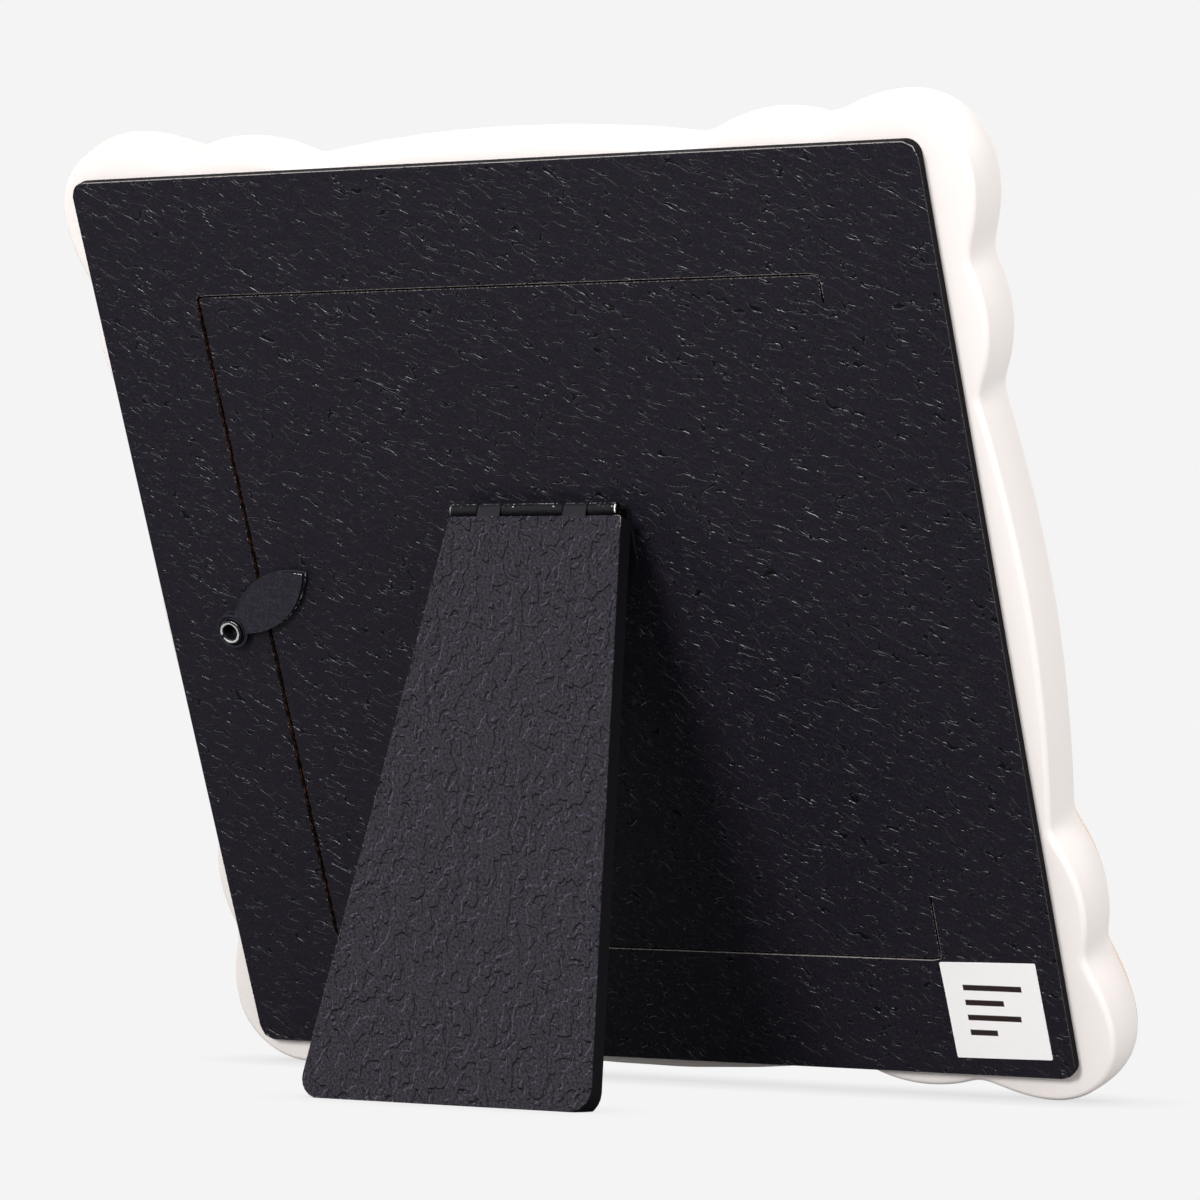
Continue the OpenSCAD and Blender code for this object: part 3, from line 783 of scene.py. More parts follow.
# %% [markdown]
# ## Sheets of paper on the board and the door
# The paper is glued on and die-cut with the board, so its cut edges show as a thin, broken
# light line. Each sheet is a grid that goes up the cut side, round the edge and across the top.
# Where the door folds, the paper isn't cut at all, so its edge is marked as bare only on the
# cut stretches. On the button's side it stops a little short of the cut, and the brown board
# shows there. Glued paper is never quite flat, so the top carries a slow unevenness.

# %% Back paper and door paper
DOOR_CUT = 0.3
LATCH_SETBACK = 0.26
PAPER_EDGE = 0.07
FOLD_TOP, FOLD_BOTTOM = 48.3, -42.5
PAPER_WAVE = 0.035
BOARD_PITCH = 2.0
BOARD_CORNER, OPENING_CORNER, DOOR_CORNER = 2.2, 0.9, 0.6
RING_COLUMNS = 400
DOOR_RUB = 0.75

paper_low, paper_high = board.box("back_cover")
door_high = board.box("door_cover")[1]
paper_under, paper_top = float(paper_low[1]), float(paper_high[1])
door_half = float(door_high[0])


def bare_edge(grid, marks):
    """The marks times how far each cut edge is rubbed bare: not at all across the fold and on the
    left, most on the top, where the bright edge is partly a painted highlight, and in spots elsewhere."""
    x, z = grid[..., 0], grid[..., 2]
    on_fold = (x < -door_half + 1) & (x > -door_half - 2) & (z < FOLD_TOP) & (z > FOLD_BOTTOM)
    outer = BOARD_HALF - 1
    on_latch = np.abs(x - door_half) < 1
    wear_and_painted_highlight = np.select([on_fold, x > outer, z > outer, z < -outer, x < -outer, on_latch],
                       [0, 0, 1, 0.7, 0.5, 0.62], 0.95)
    return marks * wear_and_painted_highlight


def waved(grid, seed, inner_rows):
    """Raises the inner rows by the paper's slow unevenness."""
    grid = grid.copy()
    grid[inner_rows, :, 1] += PAPER_WAVE * slow_waves(grid[inner_rows], seed, steepness=0.28)
    return grid


def latch_corners(half, latch_half):
    """A square whose latch side, which is the side of the button, is moved on its own."""
    return [[-half, -half], [latch_half, -half], [latch_half, half], [-half, half]]


def paper_ring():
    """Outer edge of the board to the door's opening: both outlines have the same columns."""
    outer, normal = rounded_outline(square_corners(BOARD_HALF), [BOARD_CORNER] * 4, BOARD_PITCH)
    opening = door_half + DOOR_CUT
    inner, inner_normal = rounded_outline(latch_corners(opening, opening + LATCH_SETBACK),
                                          [OPENING_CORNER] * 4, BOARD_PITCH)
    outer, normal = resampled(outer, normal, RING_COLUMNS)
    inner, inner_normal = resampled(inner, inner_normal, RING_COLUMNS)
    up = edge_rows(outer, normal, paper_under, paper_top, PAPER_EDGE)
    down = edge_rows(inner, -inner_normal, paper_under, paper_top, PAPER_EDGE)[::-1]
    across = [raised(pulled(t, up[-1][:, [0, 2]], down[0][:, [0, 2]]), paper_top)
              for t in np.linspace(0, 1, 22)[1:-1]]
    grid = np.array(up + across + down)
    marks = np.array(EDGE_MARKS + [0.0] * len(across) + EDGE_MARKS[::-1])
    grid = waved(grid, 21, slice(len(up), -len(down)))
    return grid, bare_edge(grid, marks[:, None])


def resampled(outline, normals, count):
    """The closed outline read at evenly spaced angles about its middle, so that rings match."""
    start = np.argmin(np.arctan2(outline[:, 1], outline[:, 0]) ** 2)
    outline, normals = np.roll(outline, -start, 0), np.roll(normals, -start, 0)
    angle = np.unwrap(np.arctan2(outline[:, 1], outline[:, 0]))
    angle = np.append(angle, angle[0] + 2 * np.pi)
    even = np.linspace(0, 2 * np.pi, count, endpoint=False) + angle[0]
    points, directions = [
        np.stack([np.interp(even, angle, np.append(values[:, k], values[0, k])) for k in range(2)], 1)
        for values in (outline, normals)]
    return points, directions / np.linalg.norm(directions, axis=1)[:, None]


def paper_plate(outline, normals, low, high, edge, inner_count, seed):
    """A whole sheet: from a pole below out to the side, up, round the edge and across to a pole
    in the middle of the top."""
    up = edge_rows(outline, normals, low, high, edge)
    flat = up[-1][:, [0, 2]]
    middle = flat.mean(0)
    across = [raised(middle + (flat - middle) * t, high) for t in np.linspace(1, 0, inner_count)[1:]]
    under = [raised(np.repeat(middle[None], len(flat), 0), low)]
    grid = np.array(under + up + across)
    marks = np.array([0.0] + EDGE_MARKS + [0.0] * len(across))
    return waved(grid, seed, slice(len(up) + 1, None)), marks[:, None]


ring_grid, ring_rim = paper_ring()
skin("back_paper", board, [(ring_grid, True, True, ring_rim)], back_paper, "frame",
     ["back_cover"], crease=60)
door_outline = rounded_outline(latch_corners(door_half, door_half - LATCH_SETBACK),
                               [DOOR_CORNER] * 4, BOARD_PITCH)
door_grid, door_rim = paper_plate(*door_outline, paper_under, paper_top, PAPER_EDGE, inner_count=34, seed=22)
door_rim = bare_edge(door_grid, door_rim * DOOR_RUB)
skin("door_paper", board, [(door_grid, True, False, door_rim)], back_paper, "door",
     ["door_cover"], crease=60)

# %% [markdown]
# ## The paper hinge of the door
# There is no metal hinge on the door: along one side the paper was left uncut and simply
# bends. A strip of the same paper bridges the saw cut there. In the real frame it belongs to the
# frame on one side and to the door on the other; here it is made in place and carried by no body.

# %% Fold strip
FOLD_LAP, FOLD_RISE, FOLD_REACH = 0.35, 0.012, 0.45
ACROSS_POINTS, FOLD_ROWS = 13, 92


def fold_strip():
    """A thin flat strip: each row goes once round its section, and the rows run up the fold."""
    left, right = -door_half - DOOR_CUT - FOLD_LAP, -door_half + FOLD_LAP
    across = np.linspace(0, 1, ACROSS_POINTS)
    crown = paper_top + FOLD_RISE * np.sin(np.pi * across)
    x = left + (right - left) * across
    over = np.stack([x, crown + 0.004], 1)
    under = np.stack([x[::-1], np.full(ACROSS_POINTS, paper_under + 0.01)], 1)
    loop = np.concatenate([over, under])
    grid = np.array([np.column_stack([loop, np.full(len(loop), height)])
                     for height in np.linspace(FOLD_BOTTOM, FOLD_TOP, FOLD_ROWS)])
    ends = [np.repeat(grid[k].mean(0)[None], len(loop), 0)[None] for k in (0, -1)]
    return np.concatenate([ends[0], grid, ends[1]])


strip = skin("paper_fold", board, [(fold_strip(), True, False, 0)], back_paper, None, (),
             crease=60)
fold_x = -door_half - DOOR_CUT / 2
board.world([fold_x - FOLD_REACH, paper_top, 0])
board.world([fold_x + FOLD_REACH, paper_top, 0])
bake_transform(strip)

# %% [markdown]
# ## The label
# A small square label sits on the board at the door's lower corner, glued on a little askew, and
# one of its corners has begun to lift. It stays generic: a few plain dark bars of unlike length
# on white, with no words and no sign. They are ink in the material, since ink has no thickness.

# %% Label
LABEL_TURN = math.radians(-0.9)
LABEL_SHIFT = np.array([0.6, 0.0, 0.15])
LABEL_LEFT, LABEL_CURL = 4.7, 0.12
LABEL_BARS = ((3.6, 9.4, 0.9), (1.2, 6.2, 0.9), (-1.2, 8.6, 0.9), (-3.6, 4.4, 0.9))


def label_finish(axes):
    """White label paper with plain dark bars, each given by its height, length and thickness."""
    finish = Finish("white_label", IOR=1.45, Specular_IOR_Level=0.35)
    where = finish.place(axes)
    x, _, z = finish.split(where)
    tooth = finish.noise(where, 4.0, 3.0)
    ink = 0.0
    for height, length, thick in LABEL_BARS:
        middle = LABEL_LEFT - length / 2
        inside = (1 - finish.step(abs(x - middle), length / 2 - 0.05, length / 2 + 0.05))
        inside = inside * (1 - finish.step(abs(z - height), thick / 2 - 0.05, thick / 2 + 0.05))
        ink = inside + ink
    finish.surface(Base_Color=finish.mixed(ink, (0.95, 0.925, 0.92), (0.024, 0.014, 0.012)),
                   Roughness=0.5 + tooth * 0.12)
    finish.bump(tooth * 0.012)
    return finish


label_low, label_high = board.box("label")
label_axes = board.moved(*((label_low + label_high) / 2 + LABEL_SHIFT))
label_half = float(label_high[0] - label_low[0]) / 2
flat, flat_normal = rounded_outline(square_corners(label_half), [0.25] * 4, pitch=1.1)
flat, flat_normal = turned(flat, LABEL_TURN), turned(flat_normal, LABEL_TURN)
label_thick = float(label_high[1] - label_low[1])
label_grid = paper_plate(flat, flat_normal, -label_thick / 2, label_thick / 2, edge=0.02,
                         inner_count=8, seed=31)[0]
to_corner = np.clip((label_grid[..., 0] + label_grid[..., 2] - label_half) / label_half, 0, 1)
label_grid[..., 1] += LABEL_CURL * to_corner ** 2
skin("plain_label", label_axes, [(label_grid, True, False, 0)], label_finish(label_axes), "frame",
     ["label"], crease=60)

# %% [markdown]
# ## The turn button and its rivet
# Both pieces lie round one axis, so both are made of rows that go round it. Where the enamel is
# rubbed differs from row to row. A small class keeps each row together with its value of `rim`,
# so that a row can be added without counting the others.

# %% Rows round an axis
class Turned:
    """The rows of a piece made round an axis, each with its value of `rim`."""

    def __init__(self, columns):
        self.columns, self.rows, self.marks = columns, [], []

    def add(self, rows, marks=0.0):
        """Adds rows with one mark for all of them, or with a list of marks, one for each row."""
        each = marks if isinstance(marks, list) else [marks] * len(rows)
        self.rows += rows
        self.marks += [np.broadcast_to(mark, self.columns) for mark in each]

    @property
    def grid(self):
        """The rows as one closed grid, as `skin` takes it."""
        return np.array(self.rows), True, True, np.array(self.marks)


print("rows and their marks stay together")

# %% [markdown]
# The button is one stamping: a pointed leaf between two arcs, with a round hub on the rivet.
# Seen from the hub, its outline has one distance for each direction, the larger of the hub's
# radius and the leaf's arc. The grid runs from the bore under the hub, out along the lower
# face, round the edge and back over the top to the bore. The punch leaves a fine burr at the
# lower edge, whose light line is painted as bright metal on one side, partly a painted highlight;
# the wall above it is painted black as shade, and two turned grooves, also painted black as
# shade, run round the rivet.

# %% Turn button
LEAF_REACH, LEAF_WIDTH, LEAF_LIFT = 17.7, 7.3, 0.45
LEAF_ANGLE = math.radians(31.5)
HUB_RADIUS, BORE_RADIUS = 2.75, 1.5
STAMPED_EDGE, BURR, FACE_INSET, LEAF_DISH = 0.10, 0.15, 0.05, 0.05
HUB_BLEND, TIP_RUB = 0.4, 0.34
# Each turn of the grooves has a radius, a depth and a value of `rim`; the negative values paint the grooves
# black as shade.
GROOVE = ((2.40, 0.0, 0.0), (2.30, 0.09, -0.9), (2.18, 0.09, -0.9), (2.08, 0.0, 0.3), (1.98, 0.06, -1.0))

button_low, button_high = button.box("turn_button")
hub_under, leaf_top = float(button_low[1]), float(button_high[1])
around_hub = np.linspace(-np.pi, np.pi, 360, endpoint=False)
arc_radius = (LEAF_REACH ** 2 / 4 + LEAF_WIDTH ** 2 / 4) / LEAF_WIDTH
tip_angle = 2 * math.atan(LEAF_WIDTH / LEAF_REACH)


def leaf_distance(angle):
    """A ray from one tip of the leaf meets the arc at 2 r sin(tip angle - angle)."""
    return 2 * arc_radius * np.sin(np.clip(tip_angle - np.abs(angle), 0, np.pi / 2))


def sharpened(angle):
    """Moves rays towards the leaf's axis, so that its tip gets enough of them."""
    return np.sign(angle) * np.abs(angle / np.pi) ** 1.5 * np.pi


hub_angle = sharpened(around_hub)
button_reach = np.maximum(HUB_RADIUS, leaf_distance(hub_angle))
past_hub = np.clip((button_reach - HUB_RADIUS) / HUB_BLEND, 0, 1)


def button_row(reach, depth):
    """Points about the hub, with the leaf's axis turned up from the x axis towards -x."""
    heading = np.pi - LEAF_ANGLE - hub_angle
    return np.stack([reach * np.cos(heading), np.broadcast_to(depth, len(reach)), reach * np.sin(heading)], 1)


hub_line = np.full(len(hub_angle), HUB_RADIUS)
bore_line = np.full(len(hub_angle), BORE_RADIUS)
face_end = np.full(len(hub_angle), GROOVE[0][0] + 0.08)
leaf_under = hub_under + (LEAF_LIFT - hub_under) * past_hub
inner_top = button_reach - STAMPED_EDGE
under_end = button_reach - STAMPED_EDGE * 0.5
near_tip = np.exp(-(hub_angle / TIP_RUB) ** 2) * (hub_angle > -0.02)
# The burr is bare metal, brighter on one side: partly a painted highlight.
burr_wear_and_highlight = past_hub * np.where(hub_angle < 0, 0.80, 0.45)

stamping = Turned(len(hub_angle))
# The bore, the underside of the hub, and the underside of the leaf.
stamping.add([button_row(bore_line, pulled(t, leaf_top - 0.1, hub_under)) for t in (0, 0.5, 1)])
stamping.add([button_row(hub_line, hub_under), button_row(hub_line, leaf_under)])
stamping.add([button_row(pulled(0.5, hub_line, under_end), leaf_under)])
# The burr, bare metal brighter on one side, partly a painted highlight; the wall over it,
# painted black as shade; and the rounded upper edge.
stamping.add([button_row(under_end, leaf_under)], burr_wear_and_highlight)
stamping.add([button_row(button_reach + out, leaf_under + rise)
              for out, rise in ((BURR, 0), (BURR, 0.05), (0.02, 0.09))], burr_wear_and_highlight)
stamping.add([button_row(button_reach, leaf_top - STAMPED_EDGE)], -0.9)
stamping.add([button_row(button_reach - STAMPED_EDGE * (1 - np.cos(angle)),
                         leaf_top - STAMPED_EDGE * (1 - np.sin(angle)))
              for angle in np.radians([30, 60, 90])], 0.1 + 0.70 * near_tip)
# The face, a little dished, and the grooves round the rivet.
stamping.add([button_row(pulled(t, inner_top - FACE_INSET * past_hub, face_end),
                         leaf_top - LEAF_DISH * np.sin(np.pi * t)) for t in np.linspace(0, 1, 12)])
stamping.add([button_row(np.full(len(hub_angle), radius), leaf_top - depth) for radius, depth, _ in GROOVE],
             [mark for _, _, mark in GROOVE])
skin("stamped_turn_button", button, [stamping.grid], button_enamel, "button",
     ["turn_button"], crease=35)

# %% [markdown]
# The rivet is a thin tube whose upper end is rolled over the hub. Its section runs up inside the
# tube, over the lip on an ellipse and down outside, and it is turned about the axis. A Screw
# modifier could turn it too, but the roll splits and smears a little when it is pressed: here
# the lip's height and radius waver round the turn. The black comes off its crest first, apart
# from two gaps, and off its outer side where fingers push the button.

# %% Rivet
TUBE_RADIUS, TUBE_WALL = 1.45, 0.27
LIP_MIDDLE, LIP_HALF, LIP_RADIUS = 1.58, 0.38, 0.24
FOOT_FLARE, FOOT_HEIGHT = 0.5, 0.35
CREST_MARKS = (0.3, 0.7, 1.05, 1.05, 0.6)
SIDE_MARKS = (-0.4, -0.4, 0.4, 1.1)
rivet_low, rivet_high = button.box("button_rivet")
turn = np.linspace(0, 2 * np.pi, 120, endpoint=False)
lip_middle = float(rivet_high[1]) - LIP_RADIUS
waver = 0.035 * np.sin(2 * turn + 0.6) + 0.02 * np.sin(5 * turn + 2)


def rivet_row(radius, depth):
    """A circle about the rivet's axis at a depth."""
    radius = np.broadcast_to(radius, len(turn))
    return np.stack([radius * np.cos(turn), np.broadcast_to(depth, len(turn)), radius * np.sin(turn)], 1)


def bell(degrees, width):
    """A bell curve over the turn: 1 at that angle, falling off over its width in radians."""
    return np.exp(-((turn - math.radians(degrees)) / width) ** 2)


kept_crest = 1 - 0.75 * bell(338, 0.2) - 0.3 * bell(110, 0.15)
rubbed_side = np.where(bell(125, 0.55) > 0.3, bell(125, 0.55), 0.4)
lip_marks = [0, 0] + [mark * kept_crest for mark in CREST_MARKS]
lip_marks += [mark * rubbed_side for mark in SIDE_MARKS] + [0.3] * 2 + [0] * 4

tube_end = float(rivet_low[1])
tube = Turned(len(turn))
tube.add([rivet_row(TUBE_RADIUS - TUBE_WALL, y) for y in np.linspace(tube_end, lip_middle, 6)])
tube.add([rivet_row(LIP_MIDDLE + (LIP_HALF + waver) * np.cos(a),
                    lip_middle + (LIP_RADIUS - 0.03 + waver * 0.5) * np.sin(a))
          for a in np.radians(np.linspace(172, -80, len(lip_marks)))], lip_marks)
tube.add([rivet_row(TUBE_RADIUS, y)
          for y in np.linspace(lip_middle - LIP_RADIUS - 0.05, tube_end + FOOT_HEIGHT, 3)])
tube.add([rivet_row(TUBE_RADIUS + FOOT_FLARE, y) for y in (tube_end + FOOT_HEIGHT, tube_end)])
skin("rolled_rivet", button, [tube.grid], rivet_metal, "frame",
     ["button_rivet"], crease=50)

# %% [markdown]
# ## The strut's hinge
# Both leaves are strips of sheet steel, curled round a pin. A curl is a path, and a strip is a
# flat rounded section carried along it. A curve with a bevel would do the same; as a grid, each
# point also knows whether it lies on the barrel's end or on its upper side, where bright bare
# metal is partly a painted highlight.

# %% Strips of sheet steel
PIN_RADIUS, PIN_PLAY, SHEET = 0.6, 0.05, 0.35
KNUCKLE_RADIUS = PIN_RADIUS + PIN_PLAY + SHEET
CURL_MIDDLE = KNUCKLE_RADIUS - SHEET / 2
BARREL, LOOP_WIDTH, LOOP_X, KNUCKLE_GAP = 28.1, 3.9, 7.3, 0.15
# Headings of the bare metal on the curl's top and ends, placed where their highlights fall.
TOP_WEAR_AND_HIGHLIGHT, UPPER_WEAR_AND_HIGHLIGHT, END_WEAR_AND_HIGHLIGHT = 84.0, 50.0, 30.0


def strip_section(low_x, high_x, thick, edge=0.1):
    """A flat loop with cut corners: offsets along x and along the sheet's normal, and marks that
    are 1 on its two side edges."""
    h = thick / 2
    inner = np.linspace(low_x + 2 * edge, high_x - 2 * edge, 7)
    top = np.concatenate([[low_x + edge], inner, [high_x - edge]])
    upper = np.stack([top, np.full(len(top), h)], 1)
    loop = np.concatenate([[[low_x, h - edge]], upper, [[high_x, h - edge], [high_x, -h + edge]],
                           upper[::-1] * [1, -1], [[low_x, -h + edge]]])
    mark = (np.minimum(loop[:, 0] - low_x, high_x - loop[:, 0]) < edge * 1.5).astype(float)
    return loop, mark


def swept_strip(path, low_x, high_x, thick):
    """The section carried along a path in the y-z plane; the normal is the path's direction turned
    a quarter. The rim marks the top of the curl as bare metal where its highlight falls, partly a
    painted highlight, and the barrel's ends as bare on their upper outer half, also partly a painted
    highlight, and as painted shade, in black, on the half that lies in the hollow."""
    path = np.array(path, float)
    way = np.gradient(path, axis=0)
    way /= np.linalg.norm(way, axis=1)[:, None]
    normal = np.stack([way[:, 1], -way[:, 0]], 1)
    loop, mark = strip_section(low_x, high_x, thick)
    grid = np.empty((len(path), len(loop), 3))
    grid[..., 0] = loop[:, 0]
    grid[..., 1] = path[:, None, 0] + normal[:, None, 0] * loop[:, 1]
    grid[..., 2] = path[:, None, 1] + normal[:, None, 1] * loop[:, 1]
    ends = [np.repeat(grid[k].mean(0)[None], len(loop), 0)[None] for k in (0, -1)]
    at_ends = np.abs(loop[:, 0]) > BARREL / 2 - 0.3
    curled = np.hypot(*path.T) < CURL_MIDDLE + 0.01
    heading = np.degrees(np.arctan2(path[:, 1], path[:, 0]))
    # Bare metal on the curl's top, where its highlight falls: partly a painted highlight.
    top_wear_and_highlight = curled * np.maximum(1.30 * np.exp(-((heading - TOP_WEAR_AND_HIGHLIGHT) / 14) ** 2),
                                  1.05 * np.exp(-((heading - UPPER_WEAR_AND_HIGHLIGHT) / 36) ** 2))
    # The ends: bare on the upper outer half, partly a painted highlight, and painted black as shade on the
    # half in the hollow.
    end_wear_highlight_and_shade = np.where(np.abs(heading - END_WEAR_AND_HIGHLIGHT) < 48, 1.5, -1.0)[:, None] * (at_ends & curled[:, None])
    rim = mark * end_wear_highlight_and_shade + top_wear_and_highlight[:, None] * (1 - mark)
    rim = np.concatenate([np.zeros((1, len(loop))), rim, np.zeros((1, len(loop)))])
    return np.concatenate([ends[0], grid, ends[1]]), True, False, rim


def curl(start, end, radius, count=40):
    """Points of an arc about the pin, from one angle to another; 0 points out and 90 up."""
    angle = np.radians(np.linspace(start, end, count))
    return np.stack([radius * np.cos(angle), radius * np.sin(angle)], 1)


print("knuckle radius", round(KNUCKLE_RADIUS, 2), "mm")

# %% [markdown]
# The fixed leaf lies on the door. Three knuckles climb from its plate to the back of the barrel
# and curl over the pin, and the gaps between them take the loops of the other leaf. Plate and
# knuckles overlap in one mesh, because in the real leaf they are one sheet.

# %% Fixed leaf
FIXED_LEAF, LEAF_CORNER, PLATE_SHORT = 13.0, 4.5, 1.0
RAMP_START, RAMP_RISE, RAMP_BOW = -1.15, 1.0, np.array([[-0.10, 0.1]])
fixed_low = hinge.box("hinge_fixed_leaf")[0]
plate_y = float(fixed_low[1]) + SHEET / 2
plate_top = KNUCKLE_RADIUS - SHEET / 2 - PLATE_SHORT
half_plate = BARREL / 2
inner_edge = LOOP_X - LOOP_WIDTH / 2 - KNUCKLE_GAP
outer_edge = LOOP_X + LOOP_WIDTH / 2 + KNUCKLE_GAP
climb = np.linspace(0, 1, 9)[:, None]
ramp = [plate_y, RAMP_START] + climb * [[-CURL_MIDDLE - plate_y, RAMP_RISE]]
ramp = ramp + np.sin(np.pi * climb) * RAMP_BOW
rise = np.concatenate([[[plate_y, -4.0]], [[plate_y, -1.6]], ramp, curl(176, -140, CURL_MIDDLE)])
knuckles = [swept_strip(rise, low, high, SHEET) for low, high in (
    (-half_plate, -outer_edge), (-inner_edge, inner_edge), (outer_edge, half_plate))]
plate_flat = rounded_outline([[-half_plate, -FIXED_LEAF], [half_plate, -FIXED_LEAF],
                              [half_plate, plate_top], [-half_plate, plate_top]],
                             [LEAF_CORNER, LEAF_CORNER, 0.1, 0.1], pitch=1.5)
plate_under = float(fixed_low[1])
plate_grid, plate_rim = paper_plate(*plate_flat, plate_under, plate_under + SHEET, edge=0.1,
                                    inner_count=6, seed=41)
plate_grid[..., 1] = np.round(plate_grid[..., 1], 2)
skin("fixed_hinge_leaf", hinge, knuckles + [(plate_grid, True, False, plate_rim)], hinge_enamel,
     "door", ["hinge_fixed_leaf"], crease=35)

# %% [markdown]
# The moving leaf comes out from under the strut's paper. Its two loops curl the other way round
# the pin and fill the gaps, with a little air at each side, so that the strut can swing.

# %% Moving leaf
MOVING_LEAF, TOP_GAP = 12.0, 1.3
moving_low, moving_high = strut.box("hinge_moving_leaf")
half_moving = float(moving_high[0] - moving_low[0]) / 2
tongue_y = KNUCKLE_RADIUS - SHEET / 2
flat_part = [[tongue_y, z] for z in (-TOP_GAP - 2.2, -TOP_GAP - 1.0, -0.6)]
tongue = np.concatenate([flat_part, curl(0, 290, CURL_MIDDLE)])
loops = [swept_strip(tongue, side * LOOP_X - LOOP_WIDTH / 2, side * LOOP_X + LOOP_WIDTH / 2, SHEET)
         for side in (-1, 1)]
plate_end = -TOP_GAP - 0.6
moving_flat = rounded_outline([[-half_moving, -MOVING_LEAF], [half_moving, -MOVING_LEAF],
                               [half_moving, plate_end], [-half_moving, plate_end]],
                              [LEAF_CORNER, LEAF_CORNER, 0.1, 0.1], pitch=1.5)
faces_y = tongue_y - SHEET / 2, tongue_y + SHEET / 2
moving_grid, moving_rim = paper_plate(*moving_flat, *faces_y, edge=0.08, inner_count=6, seed=42)
moving_grid[..., 1] = np.clip(moving_grid[..., 1], *faces_y)
skin("moving_hinge_leaf", strut, loops + [(moving_grid, True, False, moving_rim)], loop_enamel,
     "strut", ["hinge_moving_leaf"], crease=35)

# %% [markdown]
# ## The strut's paper
# The strut is a tapering tongue of board with the same embossed paper on its outer face. The
# foot is cut level with the table, so the sheet ends on a slight slant there. The cut edges
# catch the light as a thin broken line, a little more on one side and most at one top corner,
# where the paper has been knocked.

# %% Strut paper
STRUT_TOP_WIDTH, STRUT_FOOT_WIDTH, STRUT_CORNER = 29.1, 48.9, 3.2
CUT_RUB, SIDE_RUB, CORNER_RUB, CORNER_SPREAD = 0.5, 0.2, 0.5, 1.6
sheet_low, sheet_high = strut.box("strut_cover")
strut_middle = float(sheet_low[0] + sheet_high[0]) / 2
strut_foot = float(sheet_low[2]) + 0.06
strut_flat = rounded_outline(
    [[strut_middle - STRUT_FOOT_WIDTH / 2, strut_foot],
     [strut_middle + STRUT_FOOT_WIDTH / 2, strut_foot],
     [strut_middle + STRUT_TOP_WIDTH / 2, float(sheet_high[2])],
     [strut_middle - STRUT_TOP_WIDTH / 2, float(sheet_high[2])]],
    [STRUT_CORNER, STRUT_CORNER, 0.4, 0.4], pitch=1.0)
strut_grid, strut_rim = paper_plate(*strut_flat, float(sheet_low[1]), float(sheet_high[1]), edge=0.06,
                                    inner_count=26, seed=51)
strut_x, strut_z = strut_grid[..., 0], strut_grid[..., 2]
from_corner = np.hypot(strut_x - strut_x[-1].mean() + STRUT_TOP_WIDTH / 2, strut_z - float(sheet_high[2]))
strut_worn = strut_rim * (CUT_RUB + SIDE_RUB * (strut_x > strut_middle)
                          + CORNER_RUB * np.exp(-(from_corner / CORNER_SPREAD) ** 2))
skin("strut_paper", strut, [(strut_grid, True, False, strut_worn)], strut_paper, "strut",
     ["strut_cover"], crease=60)

# %% [markdown]
# ## Glass, print and card
# The glass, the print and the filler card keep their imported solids, because a flat pane is
# already the right shape. Only their finishes are made here. The print is a plain satin sheet
# with a soft two-tone wash, as a blank sample would be.

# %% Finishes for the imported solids
def glass_finish():
    """Clear window glass with the faint green of thick float glass."""
    return Finish("clear_glass", Base_Color=(0.97, 0.99, 0.985), Roughness=0.02, IOR=1.52,
                  Transmission_Weight=1.0)


def print_finish():
    """A soft wash from warm to cool, up the sheet."""
    finish = Finish("print_paper", Roughness=0.42, IOR=1.45)
    where = finish.place(ring)
    _, _, z = finish.split(where)
    drift = finish.noise(finish.stretched(where, (1, 1, 2.2)), 0.02, 2.0) - 0.5
    share = finish.step(z + drift * 46, -34, 38)
    finish.surface(Base_Color=finish.mixed(share, (0.80, 0.66, 0.54), (0.66, 0.72, 0.74)))
    finish.bump(finish.noise(where, 3.0, 2.0) * 0.01)
    return finish


def card_finish():
    """Uncoated grey card with short fibres."""
    finish = Finish("grey_card", Roughness=0.85, IOR=1.45)
    where = finish.place(ring)
    fibre = finish.noise(finish.stretched(where, (1, 1, 3.5)), 0.9, 5.0, 0.7)
    finish.surface(Base_Color=finish.mixed(fibre, (0.27, 0.23, 0.19), (0.45, 0.40, 0.34)))
    finish.bump(fibre * 0.05)
    return finish


def dress(node, finish):
    """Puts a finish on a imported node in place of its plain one."""
    slots = frame["nodes"][node].material_slots
    for slot in slots:
        slot.material = finish.material
    if not len(slots):
        frame["nodes"][node].data.materials.append(finish.material)


for node, finish in {
    "glass_pane": glass_finish(), "photo_print": print_finish(), "filler_card": card_finish(),
    "back_board": board_edges, "door_board": door_edges, "strut_board": strut_edges,
    "hinge_pin": pin_enamel, "hinge_rivets": hinge_enamel, "strut_rivets": hinge_enamel,
}.items():
    dress(node, finish)
print("packed solids dressed")

# %% [markdown]
# ## Floor, backdrop and light
# The floor and the world are one pale grey to the camera, so no horizon shows. A floor that is
# only lit would never match the backdrop, because lamps fall off. So the camera sees the
# backdrop's own grey, darkened where the object closes the floor off from its surroundings: that
# is the soft shadow under an object in a white room. To all other rays the floor is matt and
# darker, so that it sends little light back up the object. Glossy rays see it darker still close
# by, so that black parts stay black, and far away they see the backdrop again.

# %% Stage
BACKDROP = 0.905
FLOOR_TONE, GLOSS_TONE = 0.38, 0.13
FLOOR_HALF = 4.0
GLOSS_NEAR, GLOSS_FAR = 0.5, 1.2
SHADOW_REACH, SHADOW_DEPTH = 0.012, 0.22


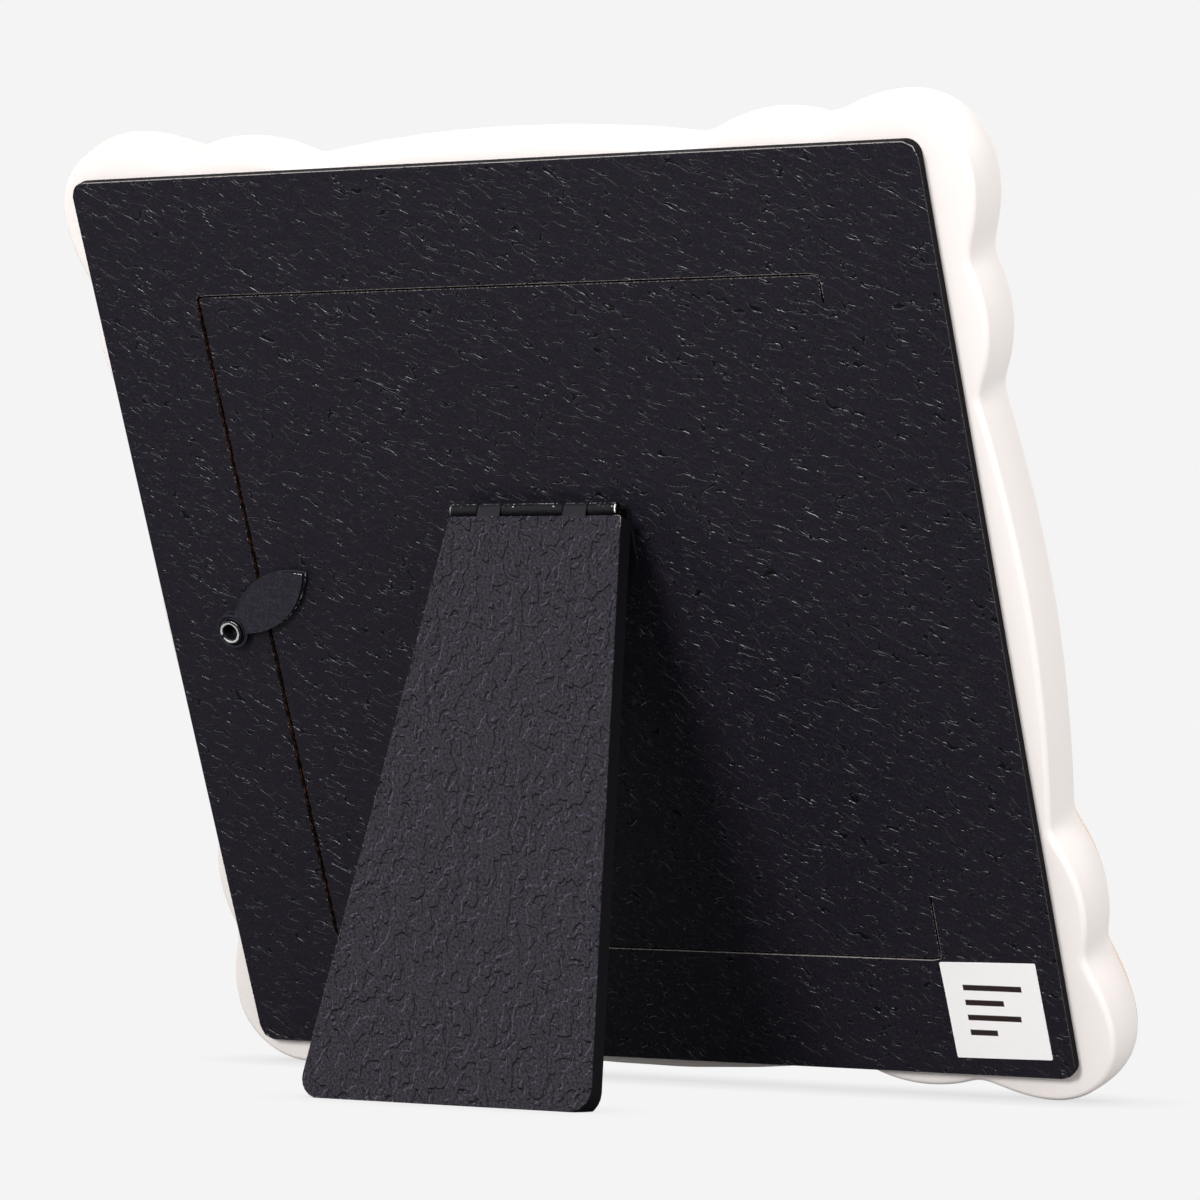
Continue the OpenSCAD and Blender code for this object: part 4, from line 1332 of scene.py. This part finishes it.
def floor_material():
    """The backdrop's grey times the open share of the floor's surroundings; matt to other rays."""
    finish = Finish("pale_floor")
    tree = finish.tree
    camera_ray, glossy_ray, through_ray = [
        finish.make("ShaderNodeLightPath", out=name)
        for name in ("Is Camera Ray", "Is Glossy Ray", "Is Transmission Ray")]
    where = finish.make("ShaderNodeTexCoord", out=3)
    distance = finish.make("ShaderNodeVectorMath", {"operation": "LENGTH"}, {0: where}, out=1)
    far = finish.step(distance, GLOSS_NEAR, GLOSS_FAR)
    open_share = finish.make("ShaderNodeAmbientOcclusion", {"samples": 12},
                             {"Distance": SHADOW_REACH}, out="AO")
    shade = 1 - (1 - open_share) * SHADOW_DEPTH
    backdrop = finish.make("ShaderNodeEmission", None, {"Color": (BACKDROP,) * 3, "Strength": shade})
    tone = finish.mixed(glossy_ray, (FLOOR_TONE,) * 3, (GLOSS_TONE,) * 3)
    matt = finish.make("ShaderNodeBsdfDiffuse", None, {"Color": tone})
    seen = camera_ray.most(through_ray).most(glossy_ray * far)
    mix = finish.make("ShaderNodeMixShader", None, {0: seen, 1: matt, 2: backdrop})
    output = next(n for n in tree.nodes if n.type == "OUTPUT_MATERIAL")
    tree.links.new(mix.socket, output.inputs["Surface"])
    tree.nodes.remove(finish.shader)
    return finish.material


floor_corners = [(x * FLOOR_HALF, y * FLOOR_HALF, 0) for x, y in ((-1, -1), (1, -1), (1, 1), (-1, 1))]
floor_mesh = bpy.data.meshes.new("floor")
floor_mesh.from_pydata(floor_corners, [], [(0, 1, 2, 3)])
floor = bpy.data.objects.new("floor", floor_mesh)
bpy.context.scene.collection.objects.link(floor)
floor_mesh.materials.append(floor_material())
print("floor", 2 * FLOOR_HALF, "m across")

# %% [markdown]
# The world is the fill light: the camera, gloss and glass see it as the backdrop, and as a light
# it is darker, because the lamps should give the shape. The key lamp stands to the left of the
# camera and a little above it, and throws the strut's shadow on the board. A small high lamp
# brightens the top of the moulding, a broad one on the right models its wall, and a fourth
# lights the glazed front, which only other views show. All of them are weak enough for the
# moulding to keep its cream colour.

# %% World and lamps
WORLD_FILL = 0.42
# Each lamp has a direction, a distance and a size in metres, and a power in watts.
LAMPS = {
    "key": ((0.06, 0.95, 0.24), 0.9, 0.25, 6.1),
    "upper_left": ((0.28, 0.51, 0.81), 0.9, 0.2, 0.9),
    "side": ((-0.95, 0.2, 0.25), 1.0, 0.7, 5.4),
    "front": ((0.3, -0.9, 0.5), 1.2, 0.8, 6.8),
}

world = bpy.data.worlds.new("studio")
bpy.context.scene.world = world
world.use_nodes = True
sky = world.node_tree
background = sky.nodes["Background"]
path = sky.nodes.new("ShaderNodeLightPath")
backdrop_rays = Wire(sky, path.outputs["Is Camera Ray"])
backdrop_rays = backdrop_rays.most(Wire(sky, path.outputs["Is Glossy Ray"]))
backdrop_rays = backdrop_rays.most(Wire(sky, path.outputs["Is Transmission Ray"]))
plug(sky, background.inputs["Color"], (1, 1, 1, 1))
plug(sky, background.inputs["Strength"], WORLD_FILL + backdrop_rays * (BACKDROP - WORLD_FILL))


def lamp(name, way, distance, size, power):
    """A square area lamp that looks at the object's middle from a direction."""
    light = bpy.data.lights.new(name, "AREA")
    light.size = size
    light.energy = power
    lamp_object = bpy.data.objects.new(name, light)
    bpy.context.scene.collection.objects.link(lamp_object)
    way = Vector(way).normalized()
    lamp_object.location = aim + way * distance
    lamp_object.rotation_mode = "QUATERNION"
    lamp_object.rotation_quaternion = way.to_track_quat("Z", "Y")


for name, values in LAMPS.items():
    lamp(name, *values)
bpy.context.scene.view_settings.view_transform = "Standard"
print("stage lit by", len(LAMPS), "lamps")
